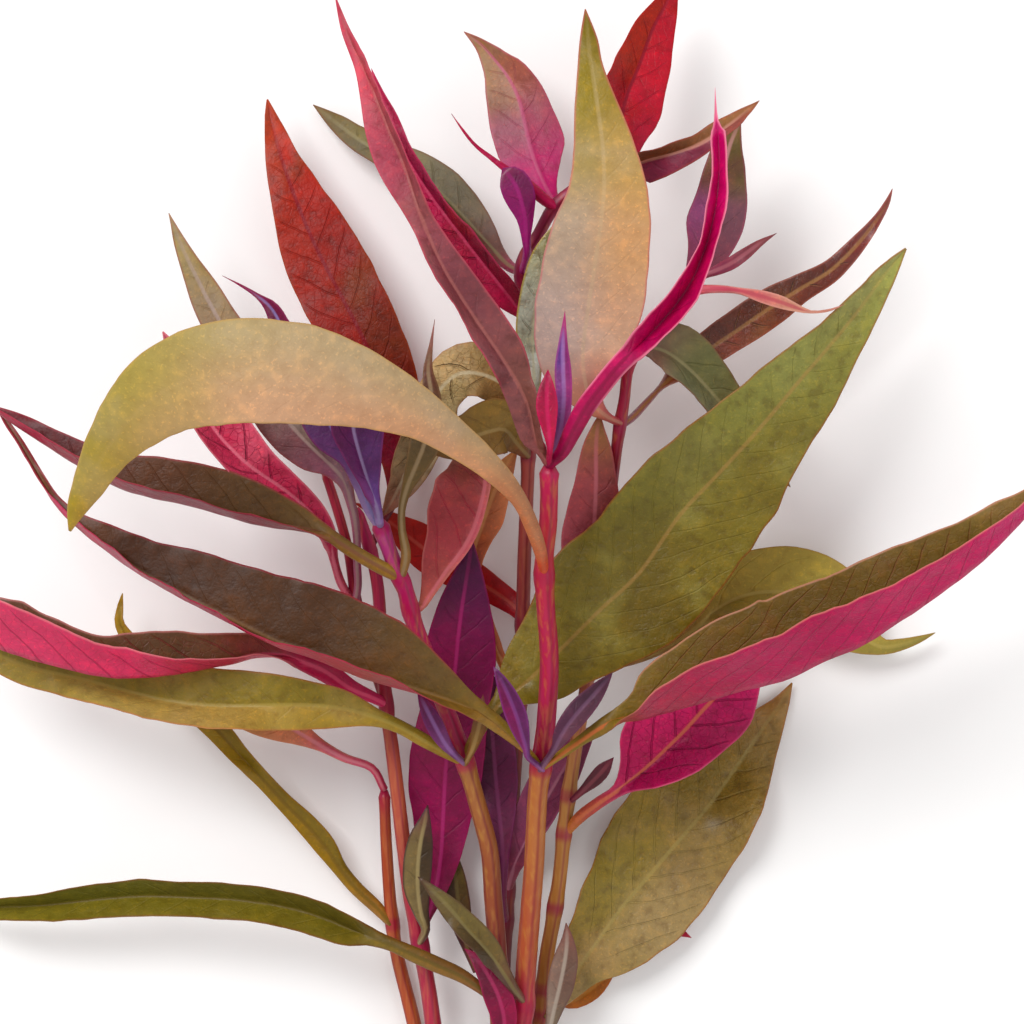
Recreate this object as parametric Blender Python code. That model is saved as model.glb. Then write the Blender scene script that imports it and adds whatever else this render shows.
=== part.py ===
# A clump of Alternanthera reineckii, cut at its foot and lying on its back.
# +X runs to the right, +Y from the foot to the tips, +Z up from the surface.
# The origin is on that surface, under the middle of the plant.
import math

import bpy
import numpy as np
from mathutils import Vector

# Driving dimensions, in millimetres
MM = 0.001
POINT = 0.14  # width of one picture point at the middle height
MIDDLE_HEIGHT = 30.0
EYE_HEIGHT = 480.0  # where the picture points are seen from
PICTURE_MIDDLE = 512.0
SHIFT_X = 5.8  # brings the middle of the plant over the origin
SHIFT_Y = 17.6
STALK_RADIUS = 0.8
STALK_GAP = 0.45  # left between a leaf stalk and its stem
BLADE_HALF = 0.24  # half thickness of a blade at its middle
RIB = 0.3  # how far the midrib stands out under the blade
STALK_WIDTH = (0.9, 2.2)  # half widths over which a stalk turns into a blade
STALK_SHARE = (0.3, 0.5)  # and the shares of the length by which it has done so
FLAT_FOLD = (0.1, 0.35)  # how much narrower a half looks before it counts as folded
MOST_FOLD = 146.0  # degrees, so that a folded half never lies on the other one
FOOT_SIZE = (13.0, 11.0, 9.4)
FOOT_PLACE = (478, 1192)
FOOT_GAP = 0.35

# Divisions of the curves and rings
CURVE_STEPS = 24
STEM_SIDES = 8
STEM_STEP = 9.0
FOOT_SIDES = 12
ACROSS = (-1.0, -0.5, 0.0, 0.5, 1.0)
LAST_RING = 0.965

OLIVE = (0.20, 0.17, 0.03)
TAN = (0.50, 0.34, 0.16)
BROWN = (0.13, 0.06, 0.02)
CRIMSON = (0.42, 0.02, 0.08)
PINK = (0.60, 0.10, 0.20)
MAUVE = (0.30, 0.10, 0.13)
PURPLE = (0.16, 0.01, 0.09)
ORANGE = (0.50, 0.16, 0.04)
GREY = (0.28, 0.22, 0.20)

# Stem paths: picture x, picture y, height; with the radius at the foot and at the tip
STEMS = {
    "front_stem": {
        "path": [(497, 1192, 6.8), (508, 1110, 8.5), (521, 1024, 10.5), (527, 950, 12.8), (531, 900, 15),
                 (534, 860, 17.6), (537, 800, 21.5), (542, 755, 24), (546, 720, 25.8), (549, 660, 28),
                 (545, 600, 31), (544, 560, 32.6), (548, 520, 33.8), (549, 466, 36)],
        "radius": (1.65, 1.25), "colour": ORANGE,
    },
    "second_stem": {
        "path": [(472, 1192, 6.8), (488, 1110, 7.2), (500, 1024, 7.6), (497, 950, 8.6), (493, 900, 10.4),
                 (489, 850, 12.6), (476, 800, 15), (465, 762, 17), (450, 720, 18.6), (442, 700, 19.5),
                 (428, 660, 20.8), (413, 620, 22.2), (405, 590, 23.4), (397, 572, 24.2),
                 (387, 545, 25.4), (378, 520, 26.4)],
        "radius": (1.55, 1.1), "colour": ORANGE,
    },
    "left_stem": {
        "path": [(457, 1192, 2.4), (433, 1110, 2.2), (413, 1020, 2.6), (396, 950, 3.4), (390, 900, 4.4),
                 (387, 860, 5.4), (385, 820, 6.4), (384, 790, 7)],
        "radius": (1.3, 0.8), "colour": ORANGE,
    },
    "short_left_stem": {
        "path": [(448, 1192, 6.8), (443, 1110, 6.6), (431, 1010, 6.8), (421, 950, 8), (411, 900, 9.4),
                 (404, 850, 10.4), (398, 800, 11.8), (392, 750, 12.8), (386, 705, 13.5), (381, 640, 14),
                 (378, 590, 14.5), (370, 550, 14.8), (356, 508, 14.5)],
        "radius": (1.35, 0.85), "colour": PINK,
    },
    "left_fork_stem": {
        "path": [(380, 686, 10.2), (368, 650, 10.2), (358, 612, 10.4), (354, 590, 10.8),
                 (349, 555, 11.6), (343, 530, 12.2), (334, 500, 12.6), (324, 470, 12.8)],
        "radius": (0.8, 0.7), "colour": CRIMSON,
    },
    "right_stem": {
        "path": [(508, 1192, 2.4), (526, 1110, 3.4), (540, 1024, 4.8), (546, 960, 6), (552, 925, 7),
                 (559, 880, 8.6), (563, 840, 10), (567, 805, 10.8), (575, 750, 12), (587, 680, 13.4),
                 (600, 580, 15), (611, 490, 17), (619, 430, 19), (624, 400, 20), (628, 370, 21),
                 (640, 345, 22), (655, 327, 22.8), (672, 309, 23.8), (690, 288, 24.6)],
        "radius": (1.25, 0.75), "colour": CRIMSON,
    },
    "back_stem": {
        "path": [(482, 1192, 2.4), (492, 1110, 1.9), (499, 1024, 1.9), (506, 900, 2.2), (512, 800, 2.8),
                 (519, 700, 4.6), (522, 640, 6.6), (524, 560, 9.5), (528, 450, 13), (527, 350, 16),
                 (521, 270, 18), (538, 235, 19), (556, 205, 20), (590, 180, 20.6), (628, 176, 20.4)],
        "radius": (1.3, 0.85), "colour": CRIMSON,
    },
}

# Leaf stations from the stem to the tip: picture x, picture y and height of the midrib, then the half
# widths seen from above on its left and right, in picture points. A half that is folded over has a
# negative width. Half is the real half width where both halves stand up, and curl bends them down.
LEAVES = {
    # front stem
    "long_dark_leaf": {
        "stem": "front_stem", "colour": OLIVE, "rings": 14,
        "stations": [(541, 768, 24, 4, 4), (528, 752, 27, 4, 4), (513, 739, 28.6, 5, 6),
                     (498, 726, 29.4, 7, 9), (480, 713, 29.8, 8, 11), (462, 705, 30.2, 6, 18),
                     (440, 697, 30.5, 2, 31), (415, 689, 30.5, -6, 46), (391, 682, 30.5, -13, 58),
                     (365, 674, 30.5, -14, 64), (340, 664, 30.3, -14, 67), (311, 652, 30, -11, 67),
                     (281, 643, 29.8, -9, 66), (249, 628, 29.4, -8, 61), (219, 613, 29, -7.5, 54),
                     (180, 593, 28.2, -7.5, 47), (140, 571, 27.4, -8, 34), (100, 543, 27, -7, 22),
                     (75, 523, 26.4, -5, 12), (55, 502, 25.6, -3, 7), (38, 474, 25, 1.5, 5),
                     (20, 443, 24.4, 2, 4), (5, 420, 23.8, 2, 3), (-8, 398, 23, 0, 0)],
    },
    "folded_right_leaf": {
        "stem": "front_stem", "colour": PINK, "rings": 13,
        "stations": [(541, 768, 24, 4, 4), (556, 758, 26.6, 4, 4), (570, 748, 27.6, 5, 5),
                     (586, 737, 28.2, 6, 6), (603, 726, 28.6, 8, 8), (622, 719, 29, 14, -2),
                     (640, 717, 29.4, 30, -12), (660, 711, 29.8, 46, -26), (700, 699, 30.4, 61, -42),
                     (742, 686, 31.2, 72, -47), (787, 674, 32.2, 78, -54), (822, 657, 33.2, 75, -53),
                     (859, 642, 34.4, 73, -55), (900, 616, 35.6, 68, -47), (940, 589, 36.8, 58, -39),
                     (980, 559, 38, 45, -30), (1009, 531, 38.8, 34, -22), (1030, 508, 39.4, 22, -14),
                     (1050, 474, 40, 0, 0)],
    },
    "left_axil_bud": {
        "stem": "front_stem", "colour": PURPLE, "rings": 7,
        "stations": [(541, 768, 25, 3, 3), (528, 757, 29.5, 3, 3), (526, 748, 31, 4, 4),
                     (522, 735, 32, 8, 8), (516, 715, 33, 11, 11), (508, 695, 33.5, 9, 9),
                     (500, 678, 33.5, 5, 5), (493, 666, 33.5, 0, 0)],
    },
    "right_axil_bud": {
        "stem": "front_stem", "colour": PURPLE, "rings": 7,
        "stations": [(541, 768, 25, 3, 3), (555, 748, 30.5, 4, 4), (560, 738, 31.5, 8, 8),
                     (568, 725, 32, 11, 11), (580, 710, 32, 12, 12), (592, 697, 31.6, 10, 10),
                     (603, 684, 31, 6, 6), (613, 672, 30.4, 0, 0)],
    },
    "arching_leaf": {
        "stem": "front_stem", "colour": TAN, "curl": -22, "rings": 15,
        "stations": [(545, 576, 32, 4, 4), (541, 552, 36, 7, 6), (533, 528, 40, 8, 7),
                     (521, 503, 44.5, 8, 8), (505, 482, 48.5, 11, 11), (480, 458, 52, 15, 15),
                     (450, 435, 55, 20, 20), (421, 415, 57.5, 26, 25), (384, 397, 60, 36, 35),
                     (347, 385, 61.8, 43, 44), (311, 376, 62.8, 50, 50), (278, 371, 63, 53, 53),
                     (234, 371, 62.6, 53, 53), (196, 378, 61, 51, 51), (161, 393, 58, 45, 45),
                     (130, 419, 54.5, 36, 36), (106, 451, 50, 25, 25), (88, 485, 45.5, 17, 17),
                     (76, 510, 42.5, 10, 10), (69, 534, 40, 0, 0)],
    },
    "mauve_leaf": {
        "stem": "front_stem", "colour": MAUVE, "rings": 12,
        "stations": [(549, 466, 35.6, 4, 4), (541, 450, 37.6, 6, 4), (535, 436, 39.4, 15, 5),
                     (526, 400, 42, 19, 9), (503, 360, 44.5, 14, 25), (469, 310, 46, 11, 26),
                     (440, 262, 47, 10, 21), (421, 216, 47.5, 14, 11), (405, 168, 47, 26, 5),
                     (389, 130, 47, 24, 4), (365, 70, 46, 10, 4), (346, 30, 45, 5, 4),
                     (334, -8, 44, 0, 0)],
    },
    "pink_channel_leaf": {
        "stem": "front_stem", "colour": CRIMSON, "half": 30, "rings": 13,
        "stations": [(549, 466, 36, 4, 4), (562, 452, 39, 7, 7), (572, 432, 41.5, 9, 9),
                     (585, 408, 43.5, 10, 10), (600, 388, 45, 10, 10), (618, 366, 46.6, 10, 10),
                     (637, 347, 48.2, 11, 11), (656, 328, 49.6, 12, 12), (675, 306, 51, 12, 12),
                     (690, 284, 52.2, 11, 11), (700, 262, 52.8, 9, 9), (709, 236, 53.2, 8.5, 8.5),
                     (716, 204, 53.4, 8, 8), (719, 170, 53, 7, 7), (718, 136, 52, 6.5, 6.5),
                     (716, 118, 51.2, 2, 2), (715, 85, 50, 0, 0)],
    },
    "crimson_tip_leaf": {
        "stem": "front_stem", "colour": CRIMSON, "rings": 6,
        "stations": [(549, 460, 38.4, 3, 3), (550, 446, 43, 3.5, 3.5), (549, 430, 43.5, 7, 7),
                     (547, 408, 44, 11, 11), (547, 388, 44, 8, 8), (548, 369, 43.5, 0, 0)],
    },
    "purple_tip_leaf": {
        "stem": "front_stem", "colour": PURPLE, "rings": 6,
        "stations": [(550, 466, 35.5, 3, 3), (557, 445, 37, 6, 6), (562, 420, 38, 8, 8),
                     (564, 395, 38.5, 8, 8), (563, 370, 38.5, 8.5, 8.5), (563, 345, 38.5, 5, 5),
                     (565, 310, 38.5, 0, 0)],
    },
    # second stem
    "left_olive_leaf": {
        "stem": "second_stem", "colour": TAN, "rings": 11,
        "stations": [(465, 762, 17, 5, 5), (445, 752, 19.5, 6, 6), (420, 738, 21.5, 7, 7),
                     (398, 726, 22.2, 7, 7), (375, 717, 23, 10, 9), (345, 709, 23.4, 19, 18),
                     (310, 705, 23.5, 25, 24), (270, 705, 23.5, 25, 32), (225, 706, 22.6, 19, 37),
                     (176, 702, 21.4, 17, 38), (130, 692, 20.4, 17, 34), (85, 680, 20, 18, 28),
                     (31, 667, 19.5, 20, 21), (-15, 648, 19, 14, 14), (-60, 625, 18.5, 0, 0)],
    },
    "big_right_leaf": {
        "stem": "second_stem", "colour": OLIVE, "rings": 12,
        "stations": [(465, 762, 17, 5, 5), (472, 744, 19, 6, 6), (484, 722, 20, 7, 7),
                     (500, 704, 20.4, 10, 8), (514, 693, 20.6, 24, 12), (534, 675, 20.8, 38, 34),
                     (560, 650, 21, 49, 45), (600, 610, 21.6, 70, 66), (640, 572, 22.2, 68, 74),
                     (680, 515, 23, 62, 77), (720, 472, 23.8, 56, 70), (760, 428, 24.4, 46, 53),
                     (800, 380, 25, 34, 44), (830, 345, 25.3, 23, 32), (860, 308, 25.3, 16, 21),
                     (886, 272, 24.8, 8, 12), (908, 246, 24, 0, 0)],
    },
    "twisted_left_leaf": {
        "stem": "second_stem", "colour": BROWN, "rings": 12,
        "stations": [(400, 578, 24, 5, 5), (386, 570, 25.5, 7, 7), (366, 559, 26.5, 7, 7),
                     (345, 546, 27, 7, 7), (325, 534, 27.2, 4, 9), (300, 528, 27.2, -3, 22),
                     (270, 524, 27.2, -7, 34), (240, 517, 27.2, -9, 40), (210, 508, 27.2, -10, 41),
                     (180, 500, 27, -10, 40), (150, 494, 26.8, -10, 38), (120, 485, 26.6, -10, 33),
                     (95, 473, 26.4, -10, 26), (65, 455, 26, -9, 20), (35, 436, 25.6, -7, 15),
                     (10, 420, 25.2, -5, 10), (-12, 404, 25, 0, 0)],
    },
    "dark_small_leaf": {
        "stem": "second_stem", "colour": BROWN, "rings": 9,
        "stations": [(402, 576, 24.4, 4, 4), (406, 555, 26, 5, 5), (402, 530, 27, 4, 4),
                     (402, 508, 27.8, 4, 4), (407, 488, 28.4, 6, 6), (415, 468, 29, 10, 11),
                     (424, 445, 29.4, 15, 16), (430, 418, 29.6, 14, 14), (431, 392, 29.4, 9, 9),
                     (428, 370, 29.2, 5, 5), (431, 345, 29, 2, 2), (435, 318, 28.8, 0, 0)],
    },
    "veined_back_leaf": {
        "stem": "second_stem", "colour": MAUVE, "back": True, "flat": True, "rings": 9,
        "stations": [(412, 608, 22.4, 4, 4), (421, 607, 20.5, 4, 4), (432, 592, 19.6, 13, 4),
                     (447, 570, 18.8, 30, 5), (462, 550, 18.2, 42, 6), (473, 530, 17.6, 50, 6),
                     (480, 508, 17, 50, 6), (485, 484, 16.4, 50, 6), (484, 463, 15.8, 42, 6),
                     (477, 445, 15.2, 26, 5), (468, 432, 14.8, 0, 0)],
    },
    "violet_left_leaf": {
        "stem": "second_stem", "colour": PURPLE, "rings": 10,
        "stations": [(379, 527, 26, 4, 4), (370, 508, 27.6, 7, 6), (361, 485, 28.6, 8, 8),
                     (349, 458, 29.2, 11, 12), (334, 432, 29.4, 24, 16), (315, 395, 29.4, 24, 16),
                     (297, 358, 29.2, 20, 14), (284, 330, 29, 13, 9), (272, 308, 28.7, 8, 5),
                     (258, 296, 28.4, 3, 2.5), (240, 285, 28, 1.2, 1.2), (221, 275, 27.6, 0, 0)],
    },
    "violet_right_leaf": {
        "stem": "second_stem", "colour": PURPLE, "rings": 8,
        "stations": [(380, 524, 27.2, 4, 4), (377, 508, 29.5, 5, 5), (370, 490, 31, 6, 10),
                     (364, 470, 32, 10, 18), (358, 450, 32.4, 14, 26), (353, 428, 32.6, 20, 32),
                     (352, 405, 32.6, 18, 28), (356, 385, 32.4, 9, 14), (362, 368, 32, 0, 0)],
    },
    "lower_left_leaf": {
        "stem": "second_stem", "colour": OLIVE, "half": 26, "rings": 12,
        "stations": [(503, 1010, 7.8, 4, 4), (485, 992, 12, 5, 5), (462, 976, 13.4, 7, 7),
                     (440, 966, 14, 8, 8), (415, 955, 14.2, 8, 8), (393, 945, 14, 7, 7),
                     (375, 938, 13.8, 9, 8), (350, 929, 13.4, 14, 14), (320, 917, 12.9, 17, 16),
                     (285, 907, 12.4, 17, 17), (240, 900, 11.8, 17, 17), (190, 897, 11, 17, 17),
                     (140, 896, 10, 17, 17), (90, 900, 9, 16, 16), (45, 905, 8, 12, 12),
                     (0, 907, 6.8, 9, 9), (-35, 909, 5.6, 5, 5), (-65, 912, 4.6, 0, 0)],
    },
    "crimson_low_leaf": {
        "stem": "second_stem", "colour": CRIMSON, "rings": 8,
        "stations": [(494, 1088, 7.3, 4, 4), (500, 1064, 12, 5, 5), (504, 1040, 13.6, 9, 9),
                     (504, 1018, 14.2, 13, 13), (498, 995, 14.4, 15, 14), (488, 975, 14.2, 11, 10),
                     (476, 958, 13.8, 6, 5), (464, 948, 13.4, 0, 0)],
    },
    # left stems
    "pink_twisted_leaf": {
        "stem": "short_left_stem", "colour": PINK, "rings": 14,
        "stations": [(386, 704, 13.5, 5, 5), (372, 697, 15.5, 6, 6), (350, 688, 17, 9, 9),
                     (325, 671, 18.4, 11, 11), (303, 662, 19.4, 9, 10), (280, 655, 20.4, 3, 14),
                     (255, 655, 22.4, -2, 22), (235, 660, 24, -5, 28), (210, 665, 25, -9, 32),
                     (180, 670, 25.8, -18, 40), (150, 674, 26.4, -27, 43), (120, 675, 27, -35, 41),
                     (95, 672, 27.4, -36, 37), (70, 666, 27.6, -41, 38), (40, 658, 27.8, -47, 43),
                     (0, 645, 28, -54, 48), (-32, 626, 27.6, -42, 38), (-62, 600, 27, -22, 20),
                     (-88, 566, 26.4, 0, 0)],
    },
    "pink_veined_leaf": {
        "stem": "left_fork_stem", "colour": PINK, "rings": 11,
        "stations": [(353, 602, 10.8, 4, 4), (341, 583, 12.4, 4.5, 4.5), (334, 560, 16, 4.5, 4.5),
                     (327, 536, 19.5, 6, 10), (313, 516, 21, 9, 15), (298, 501, 22, 11, 17),
                     (280, 487, 22.8, 14, 20), (255, 470, 23.4, 16, 26), (235, 453, 23.6, 15, 32),
                     (216, 432, 23.6, 13, 34), (200, 405, 23.4, 12, 30), (185, 375, 23, 9, 20),
                     (172, 350, 22.6, 5, 9), (162, 330, 22.4, 0, 0)],
    },
    "long_grey_leaf": {
        "stem": "left_fork_stem", "colour": MAUVE, "rings": 14,
        "stations": [(355, 606, 11, 4, 4), (358, 584, 14, 4, 4), (357, 562, 17, 4, 4),
                     (357, 542, 18, 4, 4), (355, 520, 18.3, 4.5, 4.5), (351, 503, 18.4, 5, 5),
                     (346, 483, 18.6, 8, 6), (333, 467, 19, 12, 10), (315, 450, 19.2, 24, 14),
                     (290, 424, 19, 28, 24), (262, 388, 18.6, 25, 24), (238, 350, 18, 21, 22),
                     (222, 325, 17.4, 19, 19), (208, 300, 16.6, 17, 17), (198, 280, 16, 13.5, 14),
                     (188, 260, 15.4, 9.5, 9.5), (179, 240, 14.8, 6, 6), (173, 224, 14.4, 2.5, 2.5),
                     (168, 211, 14, 0, 0)],
    },
    "red_orange_leaf": {
        "stem": "short_left_stem", "colour": ORANGE, "rings": 10,
        "stations": [(369, 550, 14.4, 4, 4), (379, 530, 11, 4, 4), (393, 500, 7.4, 6, 6),
                     (398, 465, 7.4, 16, 18), (394, 425, 8.4, 26, 29), (382, 382, 10, 33, 36),
                     (362, 336, 11, 38, 40), (338, 290, 10.4, 40, 42), (315, 245, 9.8, 36, 40),
                     (296, 200, 9.2, 25, 30), (282, 160, 8.6, 17, 18), (272, 125, 8, 7, 10),
                     (267, 97, 7, 0, 0)],
    },
    "ochre_narrow_leaf": {
        "stem": "left_stem", "colour": OLIVE, "rings": 11, "half": 14,
        "stations": [(391, 924, 4.2, 4, 4), (377, 907, 4.4, 7, 6), (356, 888, 4.6, 7, 7),
                     (340, 868, 4.8, 8, 7), (325, 846, 5.2, 11, 11), (308, 826, 5.4, 11, 11),
                     (285, 803, 5.8, 9, 9), (262, 778, 6.2, 9, 8), (240, 755, 6.6, 10, 10),
                     (220, 733, 7, 12, 12), (195, 707, 7.4, 13, 13), (165, 678, 7.8, 12, 12),
                     (138, 650, 8, 9, 9), (121, 625, 8.2, 6, 4), (120, 607, 8.2, 3, 3.5),
                     (123, 591, 8.2, 0, 0)],
    },
    "stalked_pink_leaf": {
        "stem": "left_stem", "colour": PINK, "rings": 8,
        "stations": [(384, 789, 7, 4, 4), (372, 768, 8.4, 4, 4), (345, 758, 9.4, 4.5, 4.5),
                     (322, 746, 9.8, 6, 6), (303, 735, 10.4, 12, 10), (280, 722, 11, 20, 16),
                     (250, 709, 11.4, 22, 17), (220, 701, 11.4, 16, 13), (195, 697, 11.4, 8, 7),
                     (175, 694, 11.4, 0, 0)],
    },
    "deep_magenta_leaf": {
        "stem": "short_left_stem", "colour": PURPLE, "rings": 10,
        "stations": [(418, 938, 8.3, 4, 4), (428, 915, 6.8, 5, 5), (436, 888, 6.4, 12, 12),
                     (441, 855, 6.6, 24, 20), (443, 820, 7, 30, 28), (445, 780, 8, 37, 36),
                     (448, 740, 9.6, 35, 38), (452, 700, 11.4, 30, 38), (456, 660, 12.6, 32, 40),
                     (459, 630, 13.4, 29, 36), (463, 600, 14, 22, 27), (467, 575, 14.4, 14, 17),
                     (470, 555, 14.6, 7, 8), (472, 537, 14.8, 0, 0)],
    },
    "small_striped_leaf": {
        "stem": "short_left_stem", "colour": TAN, "rings": 7,
        "stations": [(418, 945, 8.1, 4, 4), (426, 930, 11, 5, 4), (421, 912, 12.6, 8, 8),
                     (418, 890, 13.4, 14, 12), (418, 865, 13.9, 15, 14), (421, 840, 14.2, 13, 12),
                     (425, 822, 14.3, 7, 6), (428, 804, 14.3, 0, 0)],
    },
    # right stem
    "tan_top_leaf": {
        "stem": "right_stem", "colour": TAN, "rings": 11,
        "stations": [(622, 424, 19, 4, 4), (606, 416, 22, 5, 5), (592, 402, 24, 15, 13),
                     (585, 380, 25.5, 35, 28), (583, 350, 27, 48, 40), (588, 310, 29.5, 53, 54),
                     (594, 270, 31.5, 52, 54), (600, 230, 33.5, 48, 51), (604, 190, 34.5, 36, 44),
                     (603, 150, 35, 30, 33), (598, 110, 35, 24, 22), (592, 70, 34.2, 15, 12),
                     (588, 40, 33.2, 8.5, 10), (585, 7, 32, 0, 0)],
    },
    "glossy_brown_leaf": {
        "stem": "right_stem", "colour": BROWN, "rings": 10,
        "stations": [(622, 426, 19, 3, 3), (634, 416, 17.4, 4, 4), (648, 401, 16, 3.5, 3.5),
                     (662, 386, 15, 3.5, 3.5), (680, 370, 14.4, 12, 11), (705, 352, 14, 18, 16),
                     (735, 332, 14, 20, 18), (770, 308, 14, 20, 19), (800, 289, 14, 15, 14),
                     (830, 271, 13.8, 11, 12), (855, 247, 13.4, 9, 9), (876, 221, 12.8, 5, 5),
                     (887, 203, 12.4, 3, 3), (893, 187, 12, 0, 0)],
    },
    "grey_olive_leaf": {
        "stem": "right_stem", "colour": GREY, "rings": 8,
        "stations": [(641, 350, 21.4, 4, 4), (652, 348, 20.4, 18, 14), (666, 352, 19.6, 32, 19),
                     (682, 363, 19, 34, 17), (698, 378, 18.4, 31, 15), (716, 398, 17.8, 27, 16),
                     (735, 422, 17.2, 24, 17), (755, 446, 16.6, 17, 13), (775, 468, 16, 8, 7),
                     (791, 488, 15.6, 0, 0)],
    },
    "reddish_brown_leaf": {
        "stem": "right_stem", "colour": BROWN, "rings": 9,
        "stations": [(590, 660, 13.8, 4, 4), (588, 630, 16.5, 8, 8), (589, 600, 18.5, 20, 20),
                     (591, 570, 19.2, 28, 28), (593, 540, 19.4, 32, 30), (595, 510, 19.9, 28, 27),
                     (596, 480, 20.4, 21, 21), (596, 450, 20.6, 15, 16), (597, 432, 20.6, 8, 9),
                     (600, 412, 20.4, 0, 0)],
    },
    "brown_mauve_leaf": {
        "stem": "right_stem", "colour": MAUVE, "rings": 8,
        "stations": [(688, 291, 24.6, 3, 3), (695, 272, 22, 10, 12), (705, 250, 20.4, 19, 24),
                     (713, 225, 19.6, 27, 30), (719, 200, 19, 24, 29), (724, 170, 18.4, 20, 22),
                     (730, 145, 17.8, 15, 13), (741, 119, 17, 0, 0)],
    },
    "small_brown_leaf": {
        "stem": "right_stem", "colour": MAUVE, "rings": 6,
        "stations": [(688, 290, 24.6, 3, 3), (702, 277, 26.4, 3, 3), (715, 271, 27, 5, 5),
                     (730, 264, 27, 6.5, 6.5), (745, 254, 27, 6, 6), (760, 243, 26.6, 3.5, 3.5),
                     (777, 233, 26.2, 0, 0)],
    },
    "thin_salmon_leaf": {
        "stem": "right_stem", "colour": PINK, "half": 11, "rings": 8,
        "stations": [(683, 297, 24.2, 3, 3), (700, 290, 26.4, 4.5, 4.5), (720, 289, 27, 4, 4),
                     (740, 291, 27.4, 3.5, 3.5), (760, 296, 27.6, 6, 6), (780, 302, 27.8, 6.5, 6.5),
                     (797, 308, 27.8, 4, 4), (812, 312, 27.6, 1.5, 1.5), (830, 310, 27.4, 1.3, 1.3),
                     (845, 304, 27, 0, 0)],
    },
    "pink_ribbed_leaf": {
        "stem": "right_stem", "colour": PINK, "back": True, "rings": 10,
        "stations": [(566, 833, 10, 4, 4), (580, 817, 12.4, 6, 6), (600, 802, 13.8, 6, 6),
                     (618, 790, 14.6, 7, 7), (634, 778, 15, 22, 10), (648, 766, 15.4, 41, 18),
                     (665, 750, 15.8, 50, 29), (685, 730, 16.2, 51, 40), (702, 711, 16.4, 46, 45),
                     (720, 692, 16.6, 38, 44), (736, 676, 16.6, 27, 31), (752, 660, 16.4, 14, 16),
                     (768, 644, 16.2, 0, 0)],
    },
    "ochre_back_leaf": {
        "stem": "right_stem", "colour": TAN, "rings": 11,
        "stations": [(588, 668, 13.8, 4, 4), (625, 663, 11, 4, 4), (660, 650, 9.6, 5, 5),
                     (690, 632, 9, 6, 6), (715, 611, 8.6, 12, 8), (738, 598, 8.2, 36, 16),
                     (765, 592, 7.8, 44, 28), (795, 594, 7.2, 47, 36), (822, 606, 6.4, 46, 38),
                     (845, 624, 5.6, 38, 30), (865, 640, 5, 20, 15), (882, 647, 4.6, 9, 8),
                     (900, 645, 4.2, 6.5, 6), (920, 639, 3.8, 3.5, 3.5), (937, 632, 3.4, 0, 0)],
    },
    "large_lower_leaf": {
        "stem": "right_stem", "colour": OLIVE, "rings": 11,
        "stations": [(545, 1016, 5.6, 4, 4), (556, 1006, 6, 6, 6), (568, 988, 6, 14, 14),
                     (580, 966, 5.8, 24, 27), (597, 942, 5.6, 34, 46), (622, 907, 5.2, 47, 62),
                     (647, 878, 4.8, 60, 64), (669, 852, 4.4, 67, 61), (690, 828, 4, 68, 56),
                     (710, 804, 3.4, 64, 48), (730, 776, 2.8, 54, 40), (748, 750, 2.3, 36, 31),
                     (765, 725, 1.9, 20, 20), (780, 704, 1.6, 9, 10), (793, 681, 1.4, 0, 0)],
    },
    "grey_bud_leaf": {
        "stem": "right_stem", "colour": GREY, "rings": 7,
        "stations": [(540, 1050, 5.3, 4, 4), (549, 1030, 9.6, 5, 5), (554, 1010, 11, 8, 9),
                     (560, 985, 11.8, 13, 14), (565, 960, 12, 12, 13), (567, 940, 12, 6, 7),
                     (566, 922, 12, 0, 0)],
    },
    # back stem
    "wet_olive_leaf": {
        "stem": "back_stem", "colour": OLIVE, "rings": 9,
        "stations": [(529, 432, 13.5, 4, 4), (533, 400, 18, 6, 6), (534, 365, 21.5, 10, 8),
                     (533, 335, 23.5, 17, 8), (537, 300, 25, 18, 18), (544, 265, 26, 16, 18),
                     (552, 240, 26.4, 10, 12), (558, 220, 26.4, 0, 0)],
    },
    "red_top_leaf": {
        "stem": "back_stem", "colour": CRIMSON, "rings": 9,
        "stations": [(627, 176, 20, 4, 4), (622, 150, 18.6, 14, 20), (621, 125, 17.6, 24, 35),
                     (626, 98, 16.4, 24, 38), (641, 60, 15, 22, 31), (652, 30, 14, 18, 24),
                     (664, 7, 13.2, 12, 15), (678, -22, 12.2, 0, 0)],
    },
    "narrow_brown_leaf": {
        "stem": "back_stem", "colour": BROWN, "rings": 8,
        "stations": [(622, 178, 20.4, 4, 4), (640, 163, 22.6, 5, 22), (660, 157, 24.4, 6, 21),
                     (680, 151, 25.2, 8, 17), (700, 144, 25.6, 11, 12), (718, 133, 25.6, 12, 8),
                     (735, 121, 25.4, 9, 6), (750, 109, 25, 4, 3), (760, 100, 24.6, 0, 0)],
    },
    "pink_top_leaf": {
        "stem": "back_stem", "colour": PINK, "back": True, "rings": 9,
        "stations": [(556, 206, 20, 4, 4), (546, 188, 18.6, 12, 12), (538, 170, 17.6, 26, 24),
                     (531, 150, 16.6, 33, 35), (525, 125, 15.8, 35, 33), (519, 100, 15, 33, 27),
                     (510, 80, 14.4, 28, 20), (497, 62, 13.8, 17, 11), (482, 45, 13.2, 8, 6),
                     (463, 31, 12.6, 0, 0)],
    },
    "thin_crimson_leaf": {
        "stem": "back_stem", "colour": CRIMSON, "rings": 7,
        "stations": [(556, 208, 20, 4, 4), (545, 200, 21.2, 6, 6), (525, 183, 22.4, 6, 6),
                     (505, 168, 22.8, 4, 3), (490, 157, 23, 2.5, 2.5), (475, 145, 23, 1.6, 1.6),
                     (462, 129, 23, 1.2, 1.2), (451, 113, 22.8, 0, 0)],
    },
    "spoon_leaf": {
        "stem": "back_stem", "colour": PURPLE, "rings": 8,
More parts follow.
